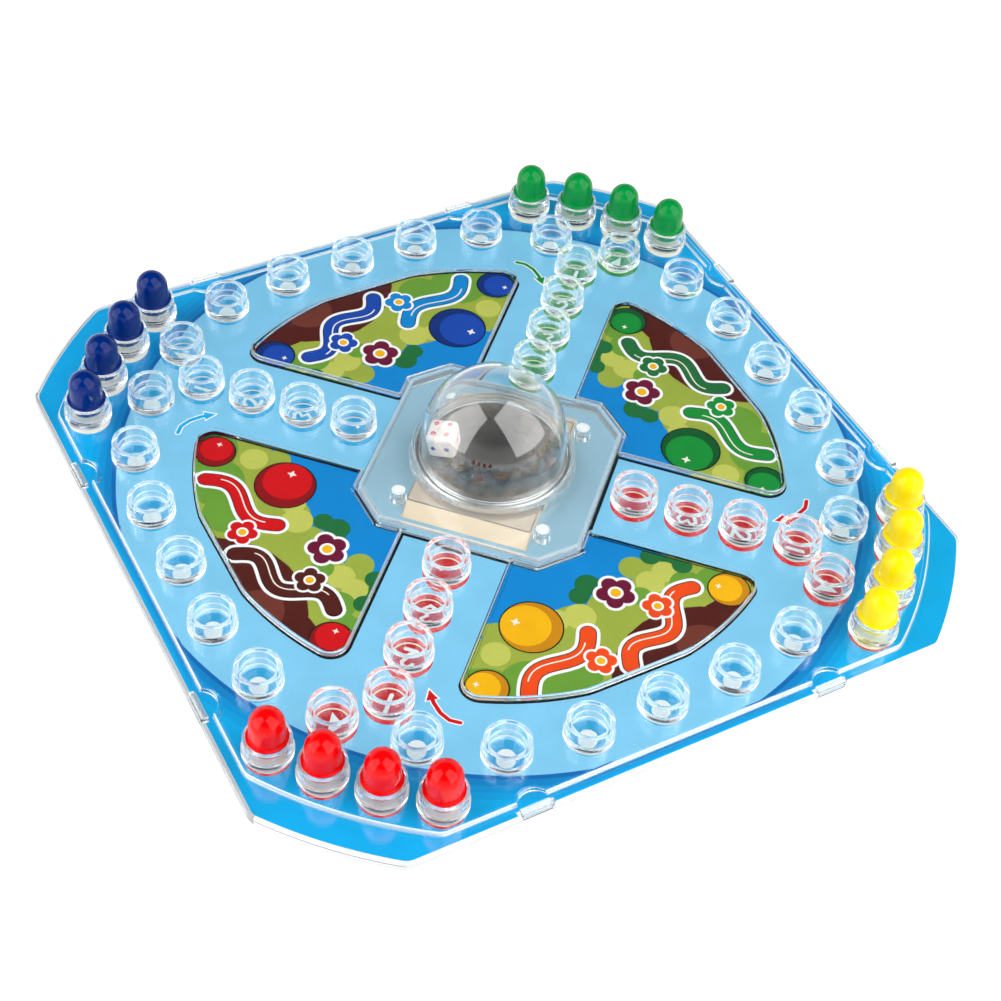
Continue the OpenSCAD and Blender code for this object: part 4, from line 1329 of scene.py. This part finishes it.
def arrow(angle, colour):
    """A bent line and a head at its end, both on a white border."""
    path = turn(ARROW, angle)
    head = path[-1] + turn(ARROW_HEAD, angle - ARROW_LEAN)
    return [("white", stroke(path, ARROW_BORDER)), ("white", path[-1] + (head - path[-1]) * ARROW_GROWN),
            (colour, stroke(path, ARROW_LINE)), (colour, head)]


def card_layers():
    """Every printed shape outside the pads, in drawing order."""
    layers = [("mid_blue", case_outline(CASE_HALF, CASE_ROUND, CASE_FILLET, CARD_IN))]
    layers += [(f"shade_blue_{i}", field(-SHADE_STEP * i)) for i in (3, 2, 1)]
    layers += [("edge_blue", field(0)), ("light_blue", field(FIELD_LINE))]
    for centres in track.values():
        for c in centres:
            layers += [("disc_blue", circle(c, TRACK_DISC_R)), ("white", circle(c, TRACK_DOT_R, 24))]
    for player, angle in PLAYERS.items():
        for i, c in enumerate(home[player]):
            layers += target(c, player)
            layers += [("white", s) for s in digit(4 - i, c, DIGIT_SIZE, angle - 90)]
        for c in start[player]:
            layers += [(RING_INK[player], circle(c, START_RING_R)), ("cream", circle(c, START_DISC_R))]
    for player, centres in zip(PLAYERS, track.values()):
        layers += target(centres[0], player) + [("white", turn(ENTRY_MARK, PLAYERS[player]) + centres[0])]
    for angle, colour in ARROW_INK.items():
        layers += arrow(angle, colour)
    # Under the housing the card has a black line round it and a greyer, darker blue inside.
    return layers + [(name, housing_outline(HOUSING_HALF + out, HOUSING_CUT + out, HOUSING_PRINT_ROUND))
                     for name, out in (("black", HOUSING_LINE), ("housing_blue", HOUSING_PRINT))]


print("printed layers outside the pads:", len(card_layers()))

# %% [markdown]
# The card itself is one sheet. The block and the tray's pins come up through it, so it has a square hole for
# the block and a round one for each pin. Its printed side is the cut-up plane, and its edges and its back are
# bare board. Where a picture's hidden outline runs past the card's side, the printed plane has a point that
# the side lacks: a joint without a gap.

# %% Printed card
HOLE_GAP = 0.4


def card_holes():
    """A square hole round the block, turned onto the diagonals, and a round one for each pin."""
    x, y = BLOCK_HALF_L + HOLE_GAP, BLOCK_HALF_W + HOLE_GAP
    block_hole = turn([[-x, -y], [x, -y], [x, y], [-x, y]], 45)
    return [block_hole] + [circle(p, PIN_R + HOLE_GAP, 20) for p in PIN_PLACES]


def print_faces(holes):
    """Triangulates the card along all outlines and gives each face the ink of the top shape over it. A pad's
    shape counts only inside the first so many of the pad's masks, which have no ink themselves."""
    shapes = [(name, (), shape) for name, shape in card_layers()]
    for angle, looks in SIDE_LOOKS.items():
        masks, layers = pad_picture(angle, *looks)
        first = len(shapes)
        shapes += [(None, (), mask) for mask in masks]
        shapes += [(name, range(first, first + needs), shape) for name, needs, shape in layers]
    points, faces, origins = cut_up([shape for _, _, shape in shapes] + holes)
    names = list(INKS)
    kept, inks = [], []
    for face, origin in zip(faces, origins):
        over = set(origin)
        if 0 in over and max(over) < len(shapes):
            top = max(o for o in over if shapes[o][0] and over.issuperset(shapes[o][1]))
            kept.append(face)
            inks.append(names.index(shapes[top][0]))
    return points, np.array(kept), np.array(inks)


def printed_card():
    """The printed plane, the bare back, and a band round the edge and each hole."""
    holes = card_holes()
    points, faces, inks = print_faces(holes)
    outer = case_outline(CASE_HALF, CASE_ROUND, CASE_FILLET, CARD_IN)
    bare, back_z = list(INKS).index("pale_board"), FLOOR_TOP + AIR
    surfaces = [(lifted(points, CARD_TOP), faces, inks), (*fill(back_z, outer, *holes), bare)]
    return surfaces + [(*band([lifted(o, CARD_TOP), lifted(o, back_z)]), bare) for o in [outer] + holes]


piece("printed_card", printed_card(), list(ink.values()), "board", "game_card",
      weighted=False)
